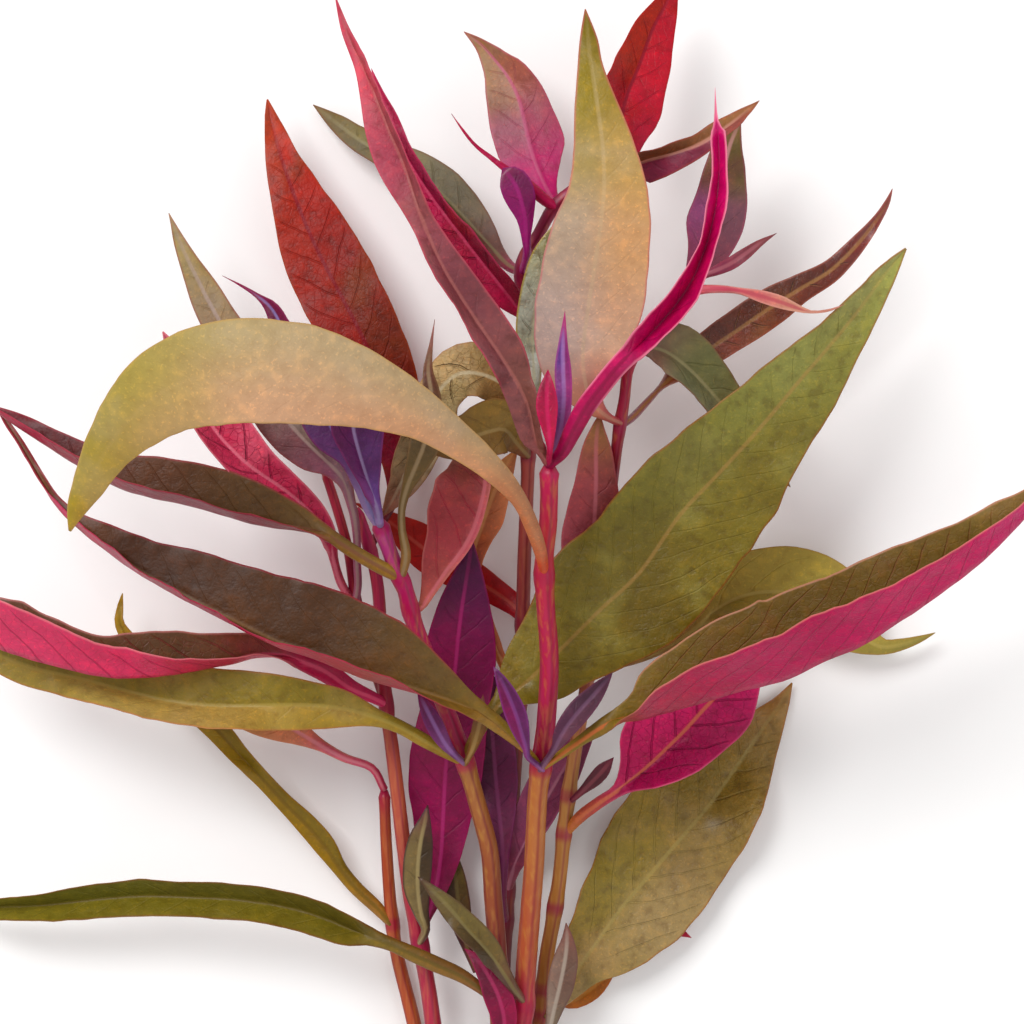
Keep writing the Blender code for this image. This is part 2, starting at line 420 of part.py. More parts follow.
        "stations": [(522, 272, 18, 4, 4), (527, 254, 22, 4, 4), (526, 236, 24, 5, 5),
                     (525, 218, 25, 9, 9), (521, 200, 26, 15, 15), (516, 186, 26.4, 16, 16),
                     (509, 175, 26.4, 12, 12), (502, 168, 26.4, 0, 0)],
    },
    "grey_olive_top_leaf": {
        "stem": "back_stem", "colour": GREY, "rings": 9,
        "stations": [(522, 273, 18, 4, 4), (508, 265, 15.6, 6, 6), (495, 252, 14, 8, 10),
                     (480, 235, 12.6, 12, 18), (460, 213, 11, 15, 24), (437, 190, 9.6, 15, 26),
                     (412, 171, 8.2, 14, 22), (385, 155, 6.4, 13, 16), (358, 139, 4.6, 12, 13),
                     (335, 122, 3, 8, 9), (312, 104, 1.4, 0, 0)],
    },
    "crimson_folded_leaf": {
        "stem": "back_stem", "colour": CRIMSON, "rings": 9,
        "stations": [(526, 318, 16.6, 4, 4), (507, 294, 20.5, 16, 11), (488, 270, 22, 20, 10),
                     (467, 243, 23, 21, 9), (443, 212, 23.5, 20, 8), (423, 184, 23.5, 17, 8),
                     (404, 152, 23.5, 13, 8), (391, 120, 23.5, 9, 8), (380, 95, 23, 5, 5),
                     (371, 67, 22.5, 0, 0)],
    },
    "tan_crinkled_leaf": {
        "stem": "back_stem", "colour": TAN, "rings": 10,
        "stations": [(528, 402, 14.6, 4, 4), (515, 392, 16, 14, 14), (500, 382, 16.8, 22, 26),
                     (480, 374, 17.2, 24, 32), (458, 374, 17, 25, 28), (438, 392, 16.2, 25, 20),
                     (425, 418, 15, 32, 17), (415, 445, 13.8, 27, 15), (405, 472, 12.6, 22, 10),
                     (394, 496, 11.6, 12, 8), (381, 518, 10.8, 0, 0)],
    },
    "brown_shaded_leaf": {
        "stem": "back_stem", "colour": BROWN, "rings": 8,
        "stations": [(528, 456, 13, 4, 4), (518, 445, 16.5, 10, 12), (505, 430, 19.4, 22, 30),
                     (488, 432, 20.8, 25, 31), (468, 438, 21.4, 22, 25), (447, 440, 21.4, 19, 19),
                     (425, 438, 21.2, 12, 12), (402, 432, 20.8, 0, 0)],
    },
    "orange_leaf": {
        "stem": "back_stem", "colour": ORANGE, "rings": 9,
        "stations": [(519, 700, 4.6, 4, 4), (506, 670, 7.5, 5, 5), (494, 640, 9.4, 7, 5),
                     (480, 605, 10.8, 10, 9), (472, 572, 11.6, 14, 9), (476, 545, 12, 17, 12),
                     (484, 520, 12.2, 20, 19), (492, 498, 12.2, 18, 17), (501, 477, 12, 13, 12),
                     (509, 462, 11.8, 7, 7), (518, 448, 11.6, 0, 0)],
    },
    "coral_back_leaf": {
        "stem": "back_stem", "colour": ORANGE, "rings": 8,
        "stations": [(524, 622, 7, 4, 4), (514, 606, 6.4, 10, 11), (492, 590, 6, 14, 14),
                     (460, 572, 5.6, 18, 20), (430, 553, 5.4, 21, 23), (410, 538, 5.2, 16, 20),
                     (392, 524, 5, 9, 12), (374, 512, 5, 5, 6), (352, 502, 5, 0, 0)],
    },
    "mauve_low_leaf": {
        "stem": "back_stem", "colour": MAUVE, "back": True, "rings": 8,
        "stations": [(507, 892, 2.4, 4, 4), (513, 870, 4.6, 8, 7), (524, 846, 5.4, 17, 9),
                     (538, 817, 5.8, 24, 13), (552, 790, 6.2, 26, 15), (567, 765, 6.6, 22, 14),
                     (583, 742, 7.2, 11, 9), (597, 722, 7.6, 0, 0)],
    },
    "dark_purple_leaf": {
        "stem": "back_stem", "colour": PURPLE, "rings": 8,
        "stations": [(506, 922, 2.2, 4, 4), (503, 900, 6.2, 4, 4), (503, 870, 7.6, 6, 5),
                     (502, 840, 7.4, 10, 10), (499, 810, 6.6, 16, 17), (496, 780, 6, 19, 22),
                     (494, 755, 5.8, 19, 22), (492, 730, 6, 17, 19), (491, 705, 6.4, 12, 13),
                     (490, 680, 6.6, 5, 6), (489, 665, 6.8, 0, 0)],
    },
    # a small leaf low in front
    "small_olive_leaf": {
        "stem": "front_stem", "colour": OLIVE, "rings": 8,
        "stations": [(526, 1004, 11, 4, 4), (515, 990, 14.5, 5, 5), (503, 972, 17, 8, 8),
                     (490, 955, 18.2, 9, 14), (477, 940, 18.8, 9, 16), (465, 927, 19, 10, 15),
                     (453, 912, 19.1, 11, 12), (440, 898, 19, 8, 8), (428, 886, 18.8, 4, 4),
                     (417, 876, 18.6, 0, 0)],
    },
}


def spread_at(height):
    """Millimetres to one picture point at this height."""
    return POINT * (EYE_HEIGHT - height) / (EYE_HEIGHT - MIDDLE_HEIGHT)


def place(x, y, height, left=0.0, right=0.0):
    """Picture point, height and seen half widths to millimetres."""
    spread = spread_at(height)
    across = (x - PICTURE_MIDDLE) * spread + SHIFT_X
    along = (PICTURE_MIDDLE - y) * spread + SHIFT_Y
    return np.array((across, along, height, left * spread, right * spread))


def between(before, start, end, after, part):
    """Catmull-Rom values between start and end."""
    slope_in = (end - before) / 2
    slope_out = (after - start) / 2
    square = part * part
    cube = square * part
    return (start * (2 * cube - 3 * square + 1) + slope_in * (cube - 2 * square + part)
            + end * (3 * square - 2 * cube) + slope_out * (cube - square))


class Curve:
    """A smooth curve through hand-placed stations, read by its share of length."""

    def __init__(self, stations):
        knots = [place(*station) for station in stations]
        ends = [knots[0] * 2 - knots[1]] + knots + [knots[-1] * 2 - knots[-2]]
        self.values = []
        for index in range(1, len(ends) - 2):
            before, start, end, after = ends[index - 1:index + 3]
            for step in range(CURVE_STEPS):
                self.values.append(between(before, start, end, after, step / CURVE_STEPS))
        self.values.append(knots[-1])
        self.values = np.array(self.values)
        steps = np.linalg.norm(np.diff(self.values[:, :3], axis=0), axis=1)
        self.lengths = np.concatenate(([0.0], np.cumsum(steps)))

    def length(self):
        return float(self.lengths[-1])

    def read(self, share):
        wanted = min(max(share, 0.0), 1.0) * self.lengths[-1]
        return [float(np.interp(wanted, self.lengths, self.values[:, column])) for column in range(5)]

    def at(self, share):
        return Vector(self.read(share)[:3])

    def along(self, share):
        near = 0.012
        return (self.at(share + near) - self.at(share - near)).normalized()


def smooth_step(value, start, end):
    part = min(max((value - start) / (end - start), 0.0), 1.0)
    return part * part * (3 - 2 * part)


def make_material(name, colour):
    material = bpy.data.materials.new(name)
    material.use_nodes = True
    shader = material.node_tree.nodes["Principled BSDF"]
    shader.inputs["Base Color"].default_value = (*colour, 1.0)
    shader.inputs["Roughness"].default_value = 0.5
    shader.inputs["Metallic"].default_value = 0.0
    return material


def make_solid(name, rings, tip, colour):
    """Joins closed rings of points into one closed solid, with a point or a flat at its far end."""
    points = [point * MM for ring in rings for point in ring]
    count = len(rings[0])
    faces = []
    for row in range(len(rings) - 1):
        for side in range(count):
            low = row * count + side
            next_side = row * count + (side + 1) % count
            faces.append((low, next_side, next_side + count, low + count))
    faces.append(tuple(reversed(range(count))))
    last = (len(rings) - 1) * count
    if tip is None:
        faces.append(tuple(range(last, last + count)))
    else:
        points.append(tip * MM)
        for side in range(count):
            faces.append((last + side, last + (side + 1) % count, len(points) - 1))
    mesh = bpy.data.meshes.new(name)
    mesh.from_pydata(points, [], faces)
    mesh.validate()
    mesh.shade_smooth()
    solid = bpy.data.objects.new(name, mesh)
    bpy.context.scene.collection.objects.link(solid)
    mesh.materials.append(make_material(name + "_finish", colour))
    return solid


def stem_radius(stem, share):
    first, last = stem["radius"]
    return first + (last - first) * share


def make_stem(name, stem):
    curve = Curve(stem["path"])
    count = max(6, int(curve.length() / STEM_STEP))
    rings = []
    for row in range(count + 1):
        share = row / count
        centre = curve.at(share)
        forward = curve.along(share)
        side = forward.cross(Vector((0, 0, 1))).normalized()
        up = side.cross(forward)
        radius = stem_radius(stem, share)
        ring = []
        for step in range(STEM_SIDES):
            angle = 2 * math.pi * step / STEM_SIDES
            ring.append(centre + (side * math.cos(angle) - up * math.sin(angle)) * radius)
        rings.append(ring)
    return make_solid(name, rings, None, stem["colour"])


def clear_share(leaf, curve, stem_curve):
    """Share of the midrib where the leaf stalk first stands clear of its stem."""
    stem = STEMS[leaf["stem"]]
    share = 0.0
    while share < 0.5:
        point = np.array(curve.at(share))
        distances = np.linalg.norm(stem_curve.values[:, :3] - point, axis=1)
        nearest = int(distances.argmin())
        stem_share = stem_curve.lengths[nearest] / stem_curve.length()
        if distances[nearest] > stem_radius(stem, stem_share) + STALK_RADIUS * 0.75 + STALK_GAP:
            break
        share += 0.004
    return share


def half_fold(seen, real, flat):
    """Real width of one half of the blade, and how far it stands up from level."""
    ratio = seen / real
    angle = 0.0 if flat else math.acos(ratio) * smooth_step(1 - ratio, *FLAT_FOLD)
    angle = min(angle, math.radians(MOST_FOLD))
    if abs(ratio) > 0.05:
        real = seen / math.cos(angle)
    return real, angle


def leaf_ring(leaf, curve, share):
    """Eight points round the blade: over its upper side, then back under it."""
    x, y, height, left, right = curve.read(share)
    centre = Vector((x, y, height))
    forward = curve.along(share)
    level = forward.cross(Vector((0, 0, 1))).normalized()
    up = level.cross(forward)
    narrow = (1 - smooth_step(max(left, right), *STALK_WIDTH)) * (1 - smooth_step(share, *STALK_SHARE))
    real = max(abs(left), abs(right), 0.02)
    wanted = leaf.get("half", 0) * spread_at(height)
    if wanted:
        real = max(real, wanted * smooth_step(real, 0.3, 1.6) * (1 - narrow))
    curl = math.radians(leaf.get("curl", 0)) * (1 - narrow)
    halves = {-1: half_fold(left, real, leaf.get("flat")), 1: half_fold(right, real, leaf.get("flat"))}
    thick = STALK_RADIUS * narrow + BLADE_HALF * (1 - narrow)
    thick = min(thick, real)
    over = []
    under = []
    for part in ACROSS:
        sign = -1 if part < 0 else 1
        width, fold = halves[sign]
        spot = centre.copy()
        steps = 6
        for step in range(steps):
            angle = fold + curl * ((step + 0.5) / steps * part) ** 2
            spot += (level * sign * math.cos(angle) + up * math.sin(angle)) * (width * abs(part) / steps)
        angle = fold + curl * part * part
        if part == 0:
            angle = (halves[1][1] - halves[-1][1]) / 2
        lift = up * math.cos(angle) - level * sign * math.sin(angle)
        bulge = thick * math.sqrt(1 - part * part)
        rib = RIB * (1 - narrow) * (1 - share) if part == 0 else 0.0
        over.append(spot + lift * (bulge + (rib if leaf.get("back") else 0.0)))
        under.append(spot - lift * (bulge + (0.0 if leaf.get("back") else rib)))
    return over + [under[3], under[2], under[1]]


def make_leaf(name, leaf):
    curve = Curve(leaf["stations"])
    stem_curve = Curve(STEMS[leaf["stem"]]["path"])
    start = clear_share(leaf, curve, stem_curve)
    count = leaf["rings"]
    rings = []
    for row in range(count):
        share = start + (LAST_RING - start) * row / (count - 1)
        rings.append(leaf_ring(leaf, curve, share))
    return make_solid(name, rings, curve.at(1.0), leaf["colour"])


def make_foot():
    """The short common foot that the stems grow from, cut across below."""
    wide, long, high = FOOT_SIZE
    middle, top = place(*FOOT_PLACE, 0)[:2]
    rings = []
    for share, swell in ((0.0, 0.82), (0.12, 0.94), (0.5, 1.0), (0.85, 0.92), (1.0, 0.66)):
        ring = []
        for step in range(FOOT_SIDES):
            angle = 2 * math.pi * step / FOOT_SIDES
            x = middle + wide / 2 * swell * math.cos(angle)
            z = high / 2 - high / 2 * swell * math.sin(angle)
            ring.append(Vector((x, top - FOOT_GAP - long * (1 - share), z)))
        rings.append(ring)
    return make_solid("foot", rings, None, BROWN)


for old in list(bpy.data.objects):
    bpy.data.objects.remove(old, do_unlink=True)

make_foot()
for stem_name, stem_shape in STEMS.items():
    make_stem(stem_name, stem_shape)
for leaf_name, leaf_shape in LEAVES.items():
    make_leaf(leaf_name, leaf_shape)
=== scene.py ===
# A clump of Alternanthera reineckii lying on a pale table, seen from straight above.
import math
import bpy
import numpy as np
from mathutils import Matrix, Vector, noise


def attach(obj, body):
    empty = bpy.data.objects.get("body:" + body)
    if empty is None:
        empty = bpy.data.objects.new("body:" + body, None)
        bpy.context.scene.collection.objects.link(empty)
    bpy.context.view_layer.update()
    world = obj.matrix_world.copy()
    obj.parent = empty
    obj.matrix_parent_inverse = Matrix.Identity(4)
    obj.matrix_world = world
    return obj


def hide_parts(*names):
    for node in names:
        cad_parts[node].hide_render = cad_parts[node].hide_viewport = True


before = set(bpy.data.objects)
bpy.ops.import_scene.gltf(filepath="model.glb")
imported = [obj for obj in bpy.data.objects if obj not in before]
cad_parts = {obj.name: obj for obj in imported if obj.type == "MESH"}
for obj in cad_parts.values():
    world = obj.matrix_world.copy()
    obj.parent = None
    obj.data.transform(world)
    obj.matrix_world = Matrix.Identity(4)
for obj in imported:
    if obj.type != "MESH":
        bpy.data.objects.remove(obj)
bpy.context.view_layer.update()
print("frame loaded:", len(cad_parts), "nodes")

mm = 0.001
picture = {
    "point": 0.14,  # mm to one picture point at the middle height
    "middleHeight": 30.0, "eyeHeight": 480.0, "middle": 512.0,
    "shift": (5.8, 17.6), "sensor": 36.0, "size": 1024,
}


class Wire:
    # a shader socket that takes part in sums
    def __init__(self, board, socket):
        self.board = board
        self.socket = socket

    def sum(self, operation, *others):
        return self.board.math(operation, self, *others)

    def __add__(self, other):
        return self.sum("ADD", other)

    __radd__ = __add__

    def __mul__(self, other):
        return self.sum("MULTIPLY", other)

    __rmul__ = __mul__

    def __sub__(self, other):
        return self.sum("SUBTRACT", other)

    def __rsub__(self, other):
        return self.board.math("SUBTRACT", other, self)

    def __truediv__(self, other):
        return self.sum("DIVIDE", other)

    def __rtruediv__(self, other):
        return self.board.math("DIVIDE", other, self)

    def __abs__(self):
        return self.sum("ABSOLUTE")

    def fraction(self):
        return self.sum("FRACT")

    def between(self, low, high):
        # 0 below low, 1 above high, smooth in between
        node = self.board.node("ShaderNodeMapRange", {"interpolation_type": "SMOOTHSTEP"},
                               {"Value": self, "From Min": low, "From Max": high})
        return Wire(self.board, node.outputs[0])


class Board:
    # one material and the nodes on it
    def __init__(self, name):
        self.material = bpy.data.materials.new(name)
        self.material.use_nodes = True
        self.tree = self.material.node_tree
        self.shader = self.tree.nodes["Principled BSDF"]

    def node(self, kind, settings, sockets):
        made = self.tree.nodes.new(kind)
        for key, value in settings.items():
            if key == "stops":
                self.setStops(made.color_ramp, value)
            else:
                setattr(made, key, value)
        for key, value in sockets.items():
            self.feed(made.inputs[key], value)
        return made

    def setStops(self, ramp, stops):
        ramp.interpolation = "EASE"
        while len(ramp.elements) > 1:
            ramp.elements.remove(ramp.elements[-1])
        for index, (place, colour) in enumerate(stops.items()):
            element = ramp.elements[0] if index == 0 else ramp.elements.new(place)
            element.position = place
            element.color = paint(colour)

    def feed(self, socket, value):
        if isinstance(value, Wire):
            self.tree.links.new(value.socket, socket)
        else:
            socket.default_value = value

    def math(self, operation, *values):
        made = self.node("ShaderNodeMath", {"operation": operation}, dict(enumerate(values)))
        return Wire(self, made.outputs[0])

    def mix(self, factor, first, second, blend="MIX"):
        settings = {"data_type": "RGBA", "blend_type": blend, "clamp_factor": True}
        made = self.node("ShaderNodeMix", settings, {0: factor, 6: first, 7: second})
        return Wire(self, made.outputs[2])

    def ramp(self, value, stops):
        made = self.node("ShaderNodeValToRGB", {"stops": stops}, {"Fac": value})
        return Wire(self, made.outputs["Color"])

    def split(self, attribute):
        source = self.node("ShaderNodeAttribute", {"attribute_name": attribute}, {})
        parts = self.node("ShaderNodeSeparateXYZ", {}, {0: Wire(self, source.outputs["Vector"])})
        return [Wire(self, output) for output in parts.outputs]

    def noise(self, scale, detail=3.0, stretch=None):
        coords = self.node("ShaderNodeTexCoord", {}, {})
        vector = Wire(self, coords.outputs["Object"])
        if stretch:
            moved = self.node("ShaderNodeMapping", {}, {"Vector": vector, "Scale": stretch})
            vector = Wire(self, moved.outputs[0])
        made = self.node("ShaderNodeTexNoise", {}, {"Vector": vector, "Scale": scale, "Detail": detail})
        return Wire(self, made.outputs["Fac"])

    def cells(self, scale):
        coords = self.node("ShaderNodeTexCoord", {}, {})
        made = self.node("ShaderNodeTexVoronoi", {"feature": "DISTANCE_TO_EDGE"},
                         {"Vector": Wire(self, coords.outputs["Object"]), "Scale": scale})
        return Wire(self, made.outputs["Distance"])

    def deepen(self, skin, depth, vivid):
        dark = self.node("ShaderNodeGamma", {}, {"Color": skin, "Gamma": depth})
        full = self.node("ShaderNodeHueSaturation", {},
                         {"Color": Wire(self, dark.outputs[0]), "Saturation": vivid})
        return Wire(self, full.outputs[0])

    def bump(self, height, strength, depth):
        made = self.node("ShaderNodeBump", {}, {"Height": height, "Strength": strength, "Distance": depth})
        self.feed(self.shader.inputs["Normal"], Wire(self, made.outputs[0]))

    def coat(self, **values):
        for name, value in values.items():
            self.feed(self.shader.inputs[name.replace("_", " ")], value)


def paint(code):
    # a six-figure screen colour as the light values that a shader takes
    levels = [int(code[at:at + 2], 16) / 255 for at in (0, 2, 4)]
    return tuple(c / 12.92 if c <= 0.04045 else ((c + 0.055) / 1.055) ** 2.4 for c in levels) + (1.0,)


def spreadAt(height):
    # millimetres to one picture point at a height above the table
    distance = picture["eyeHeight"] - height
    return picture["point"] * distance / (picture["eyeHeight"] - picture["middleHeight"])


def place(x, y, height, left=0.0, right=None):
    # picture point, height and seen half widths to millimetres, where one width counts for both sides
    spread = spreadAt(height)
    right = left if right is None else right
    return np.array(((x - picture["middle"]) * spread + picture["shift"][0],
                     (picture["middle"] - y) * spread + picture["shift"][1],
                     height, left * spread, right * spread))


def smooth(value, low, high):
    part = min(max((value - low) / (high - low), 0.0), 1.0)
    return part * part * (3 - 2 * part)


curveForm = {"steps": 24, "reach": 0.012}  # rows between two stations, and how far off a tangent looks


class Curve:
    # a smooth curve through stations, read by its share of length
    def __init__(self, stations):
        knots = [place(*station) for station in stations]
        knots = [knots[0] * 2 - knots[1]] + knots + [knots[-1] * 2 - knots[-2]]
        rows = []
        for before, start, end, after in zip(knots, knots[1:], knots[2:], knots[3:]):
            for t in np.arange(0, 1, 1 / curveForm["steps"]):
                rows.append(start * (2 * t**3 - 3 * t**2 + 1) + (end - before) / 2 * (t**3 - 2 * t**2 + t)
                            + end * (3 * t**2 - 2 * t**3) + (after - start) / 2 * (t**3 - t**2))
        rows.append(knots[-2])
        self.values = np.array(rows)
        steps = np.linalg.norm(np.diff(self.values[:, :3], axis=0), axis=1)
        self.lengths = np.concatenate(([0.0], np.cumsum(steps)))
        self.length = float(self.lengths[-1])

    def read(self, share):
        wanted = min(max(share, 0.0), 1.0) * self.length
        return [float(np.interp(wanted, self.lengths, column)) for column in self.values.T]

    def at(self, share):
        return Vector(self.read(share)[:3])

    def along(self, share):
        return (self.at(share + curveForm["reach"]) - self.at(share - curveForm["reach"])).normalized()

    def nearest(self, point):
        gaps = np.linalg.norm(self.values[:, :3] - np.array(point), axis=1)
        return float(self.lengths[gaps.argmin()] / self.length)


def tubeFaces(rows, sides):
    # the faces of a closed tube, whose rings of points follow one another
    faces = []
    for row in range(rows):
        for step in range(sides):
            low = row * sides + step
            beside = row * sides + (step + 1) % sides
            faces.append((low, beside, beside + sides, low + sides))
    faces.append(tuple(reversed(range(sides))))
    faces.append(tuple(range(rows * sides, (rows + 1) * sides)))
    return faces


def buildMesh(name, points, faces, places, spans, finish):
    mesh = bpy.data.meshes.new(name)
    mesh.from_pydata([tuple(point * mm) for point in points], [], faces)
    for label, rows in (("leafPlace", places), ("leafSpan", spans)):
        layer = mesh.attributes.new(label, "FLOAT_VECTOR", "POINT")
        layer.data.foreach_set("vector", np.array(rows, dtype=np.float32).ravel())
    mesh.shade_smooth()
    mesh.materials.append(finish)
    piece = bpy.data.objects.new(name, mesh)
    bpy.context.scene.collection.objects.link(piece)
    return piece


def keep(piece, node, extra=None):
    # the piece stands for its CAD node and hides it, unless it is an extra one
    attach(piece, "root")
    if not extra:
        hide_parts(node)


# stems

stemForm = {
    "sides": 20, "rowStep": 1.1, "slim": 0.985,  # mm, and how much thinner than the CAD stem
    "swell": 0.2, "swellReach": 1.7,  # a node is this much thicker, over so many mm
    "ridges": 5, "ridgeDepth": 0.035, "tip": 0.55, "uneven": 0.03,
    "rooted": 1.5,  # mm that a stem reaches into the foot or into its parent
    "depth": 1.3, "vivid": 1.06,
}
stemGrain = {
    "cloud": 160.0, "streakAndSheen": 1500.0, "fine": 2600.0,  # noise scales
    "streakAndSheenStretch": (1.0, 0.03, 1.0), "fineStretch": (1.0, 0.15, 1.0),
    "wander": 0.05, "streakAndSheenShow": 0.4, "ridgeShow": 0.5, "nodeShow": 0.65, "nodeReach": (0.2, 1.5),
    "rough": 0.34, "coat": 0.12, "coatRough": 0.3, "specular": 0.35, "relief": 0.35, "reliefDepth": 0.0002,
}
leafJoints = {}  # stem name to the places where its leaves grow


def stemFinish(stem):
    board = Board(stem["node"] + "Finish")
    around, along, _ = board.split("leafPlace")
    toNode = board.split("leafSpan")[0]
    cloud = board.noise(stemGrain["cloud"])
    streakAndSheen = board.noise(stemGrain["streakAndSheen"], stretch=stemGrain["streakAndSheenStretch"])
    fine = board.noise(stemGrain["fine"], 2.0, stemGrain["fineStretch"])
    skin = board.ramp(along + (cloud - 0.5) * stemGrain["wander"], stem["colours"])
    # pale lengthwise streaks: partly the stem's own pale striping, partly painted highlights running along
    # the stem
    skin = board.mix(streakAndSheen.between(0.42, 0.7) * stemGrain["streakAndSheenShow"], skin, paint(stem["streakAndSheen"]))
    ridge = abs((around * stemForm["ridges"]).fraction() - 0.5) * 2
    skin = board.mix(ridge.between(0.55, 1.0) * stemGrain["ridgeShow"], skin, paint(stem["ridge"]))
    atNode = 1 - toNode.between(*stemGrain["nodeReach"])
    skin = board.mix(atNode * stemGrain["nodeShow"], skin, paint(stem["nodeColour"]))
    skin = board.deepen(skin, stemForm["depth"], stemForm["vivid"])
    board.coat(Base_Color=skin, Roughness=stemGrain["rough"] + fine * 0.2, Metallic=0.0,
               Coat_Weight=stemGrain["coat"], Coat_Roughness=stemGrain["coatRough"],
               Specular_IOR_Level=stemGrain["specular"])
    board.bump(streakAndSheen * 0.6 + fine * 0.4, stemGrain["relief"], stemGrain["reliefDepth"])
    return board.material


def makeStem(node, form):
    stem = {**form, "node": node}
    curve = Curve(stem["path"])
    rows = int(curve.length / stemForm["rowStep"])
    sides = stemForm["sides"]
    joints = [curve.nearest(point) * curve.length for point in leafJoints.get(node, [])]
    first, last = stem["radius"]
    points, places, spans = [], [], []
    for row in range(rows + 1):
        share = row / rows
        distance = share * curve.length
        centre = curve.at(share)
        forward = curve.along(share)
        side = forward.cross(Vector((0, 0, 1))).normalized()
        up = side.cross(forward)
        gap = min([abs(distance - joint) for joint in joints] + [99.0])
        radius = (first + (last - first) * share) * stemForm["slim"]
        radius *= 1 + stemForm["swell"] * math.exp(-(gap / stemForm["swellReach"]) ** 2)
        if row == 0:
            centre = centre - forward * stemForm["rooted"]
        if row == rows:
            radius *= stemForm["tip"]
        for step in range(sides):
            angle = 2 * math.pi * step / sides
            ridge = 1 + stemForm["ridgeDepth"] * math.cos(stemForm["ridges"] * angle)
            wobble = noise.noise(Vector((distance * 0.5, math.cos(angle), math.sin(angle))))
            reach = radius * ridge * (1 + stemForm["uneven"] * wobble)
            points.append(centre + (side * math.cos(angle) - up * math.sin(angle)) * reach)
            places.append((step / sides, share, 0.0))
            spans.append((gap, distance, 0.0))
    faces = tubeFaces(rows, sides)
    piece = buildMesh(node + "Skin", points, faces, places, spans, stemFinish(stem))
    keep(piece, node)


# leaves

leafForm = {
    "columns": (-1, -0.97, -0.9, -0.78, -0.64, -0.48, -0.33, -0.19, -0.08, 0,
                0.08, 0.19, 0.33, 0.48, 0.64, 0.78, 0.9, 0.97, 1),
    "rowStep": 1.0, "blade": 0.17, "edge": 0.05,  # mm: row length and half thicknesses
    "stalk": 0.8, "stalkWidth": (0.9, 2.2), "stalkShare": (0.3, 0.5),
    "flatFold": (0.1, 0.35),  # how much narrower a half looks where its fold starts and where it is full
    "mostFold": 146,  # degrees
    "rib": 0.3, "groove": 0.12, "ribWidth": 0.32,  # mm: the midrib stands out below and is sunk above
    "thickShare": 0.15, "thickMore": 0.03,  # most half thickness: this share of the half width, plus mm
    "leastHalf": 0.02,  # mm
    "bladeStart": (0.05, 0.3), "bladeEnd": (0.9, 1.0), "lastShare": 0.995, "leastRows": 12,
    "bendSteps": 8, "crease": 0.12, "uneven": 0.035, "pucker": 0.12,
    "ruffles": (0.16, 0.45), "nibbles": 0.3, "puckers": 0.4,  # noise steps to a mm
    "depth": 1.2, "vivid": 1.06,
}
leafGrain = {
    "broad": 55.0, "cloud": 110.0, "grain": 620.0, "net": 820.0, "fine": 2400.0,  # noise scales
    "wander": 0.07, "shade": (0.62, 0.55, 0.5, 1.0), "pale": (1.6, 1.42, 1.25, 1.0),
    "darkSpots": 1.1, "paleSpots": 0.3, "paleDots": 0.5, "threads": 0.2,
    "coatRough": 0.25, "specular": 0.22, "reliefDepth": 0.0007,
}
leafVeins = {
    "gap": 5.0, "slant": 0.9, "bend": 0.06,  # mm between side veins, and how they leave the midrib
    "stagger": 0.45, "stray": 3.0, "line": (0.008, 0.06), "tip": (0.82, 0.97), "foot": (0.14, 0.26),
    "ribSide": (0.1, 0.5), "edgeSide": (0.2, 1.6), "thread": (0.0, 0.07),
    "rib": (0.12, 0.42), "rim": (0.05, 0.4),
}
# what a leaf has unless its own dictionary says otherwise
leafUsual = {"mottle": 0.3, "veins": 0.3, "ribShow": 0.7, "rim": 0.5, "rough": 0.46, "gloss": 0.06,
             "relief": 0.5, "soft": 0.1, "wave": 0.45, "curl": 0, "half": 0,
             "back": False, "flat": False, "extra": False}


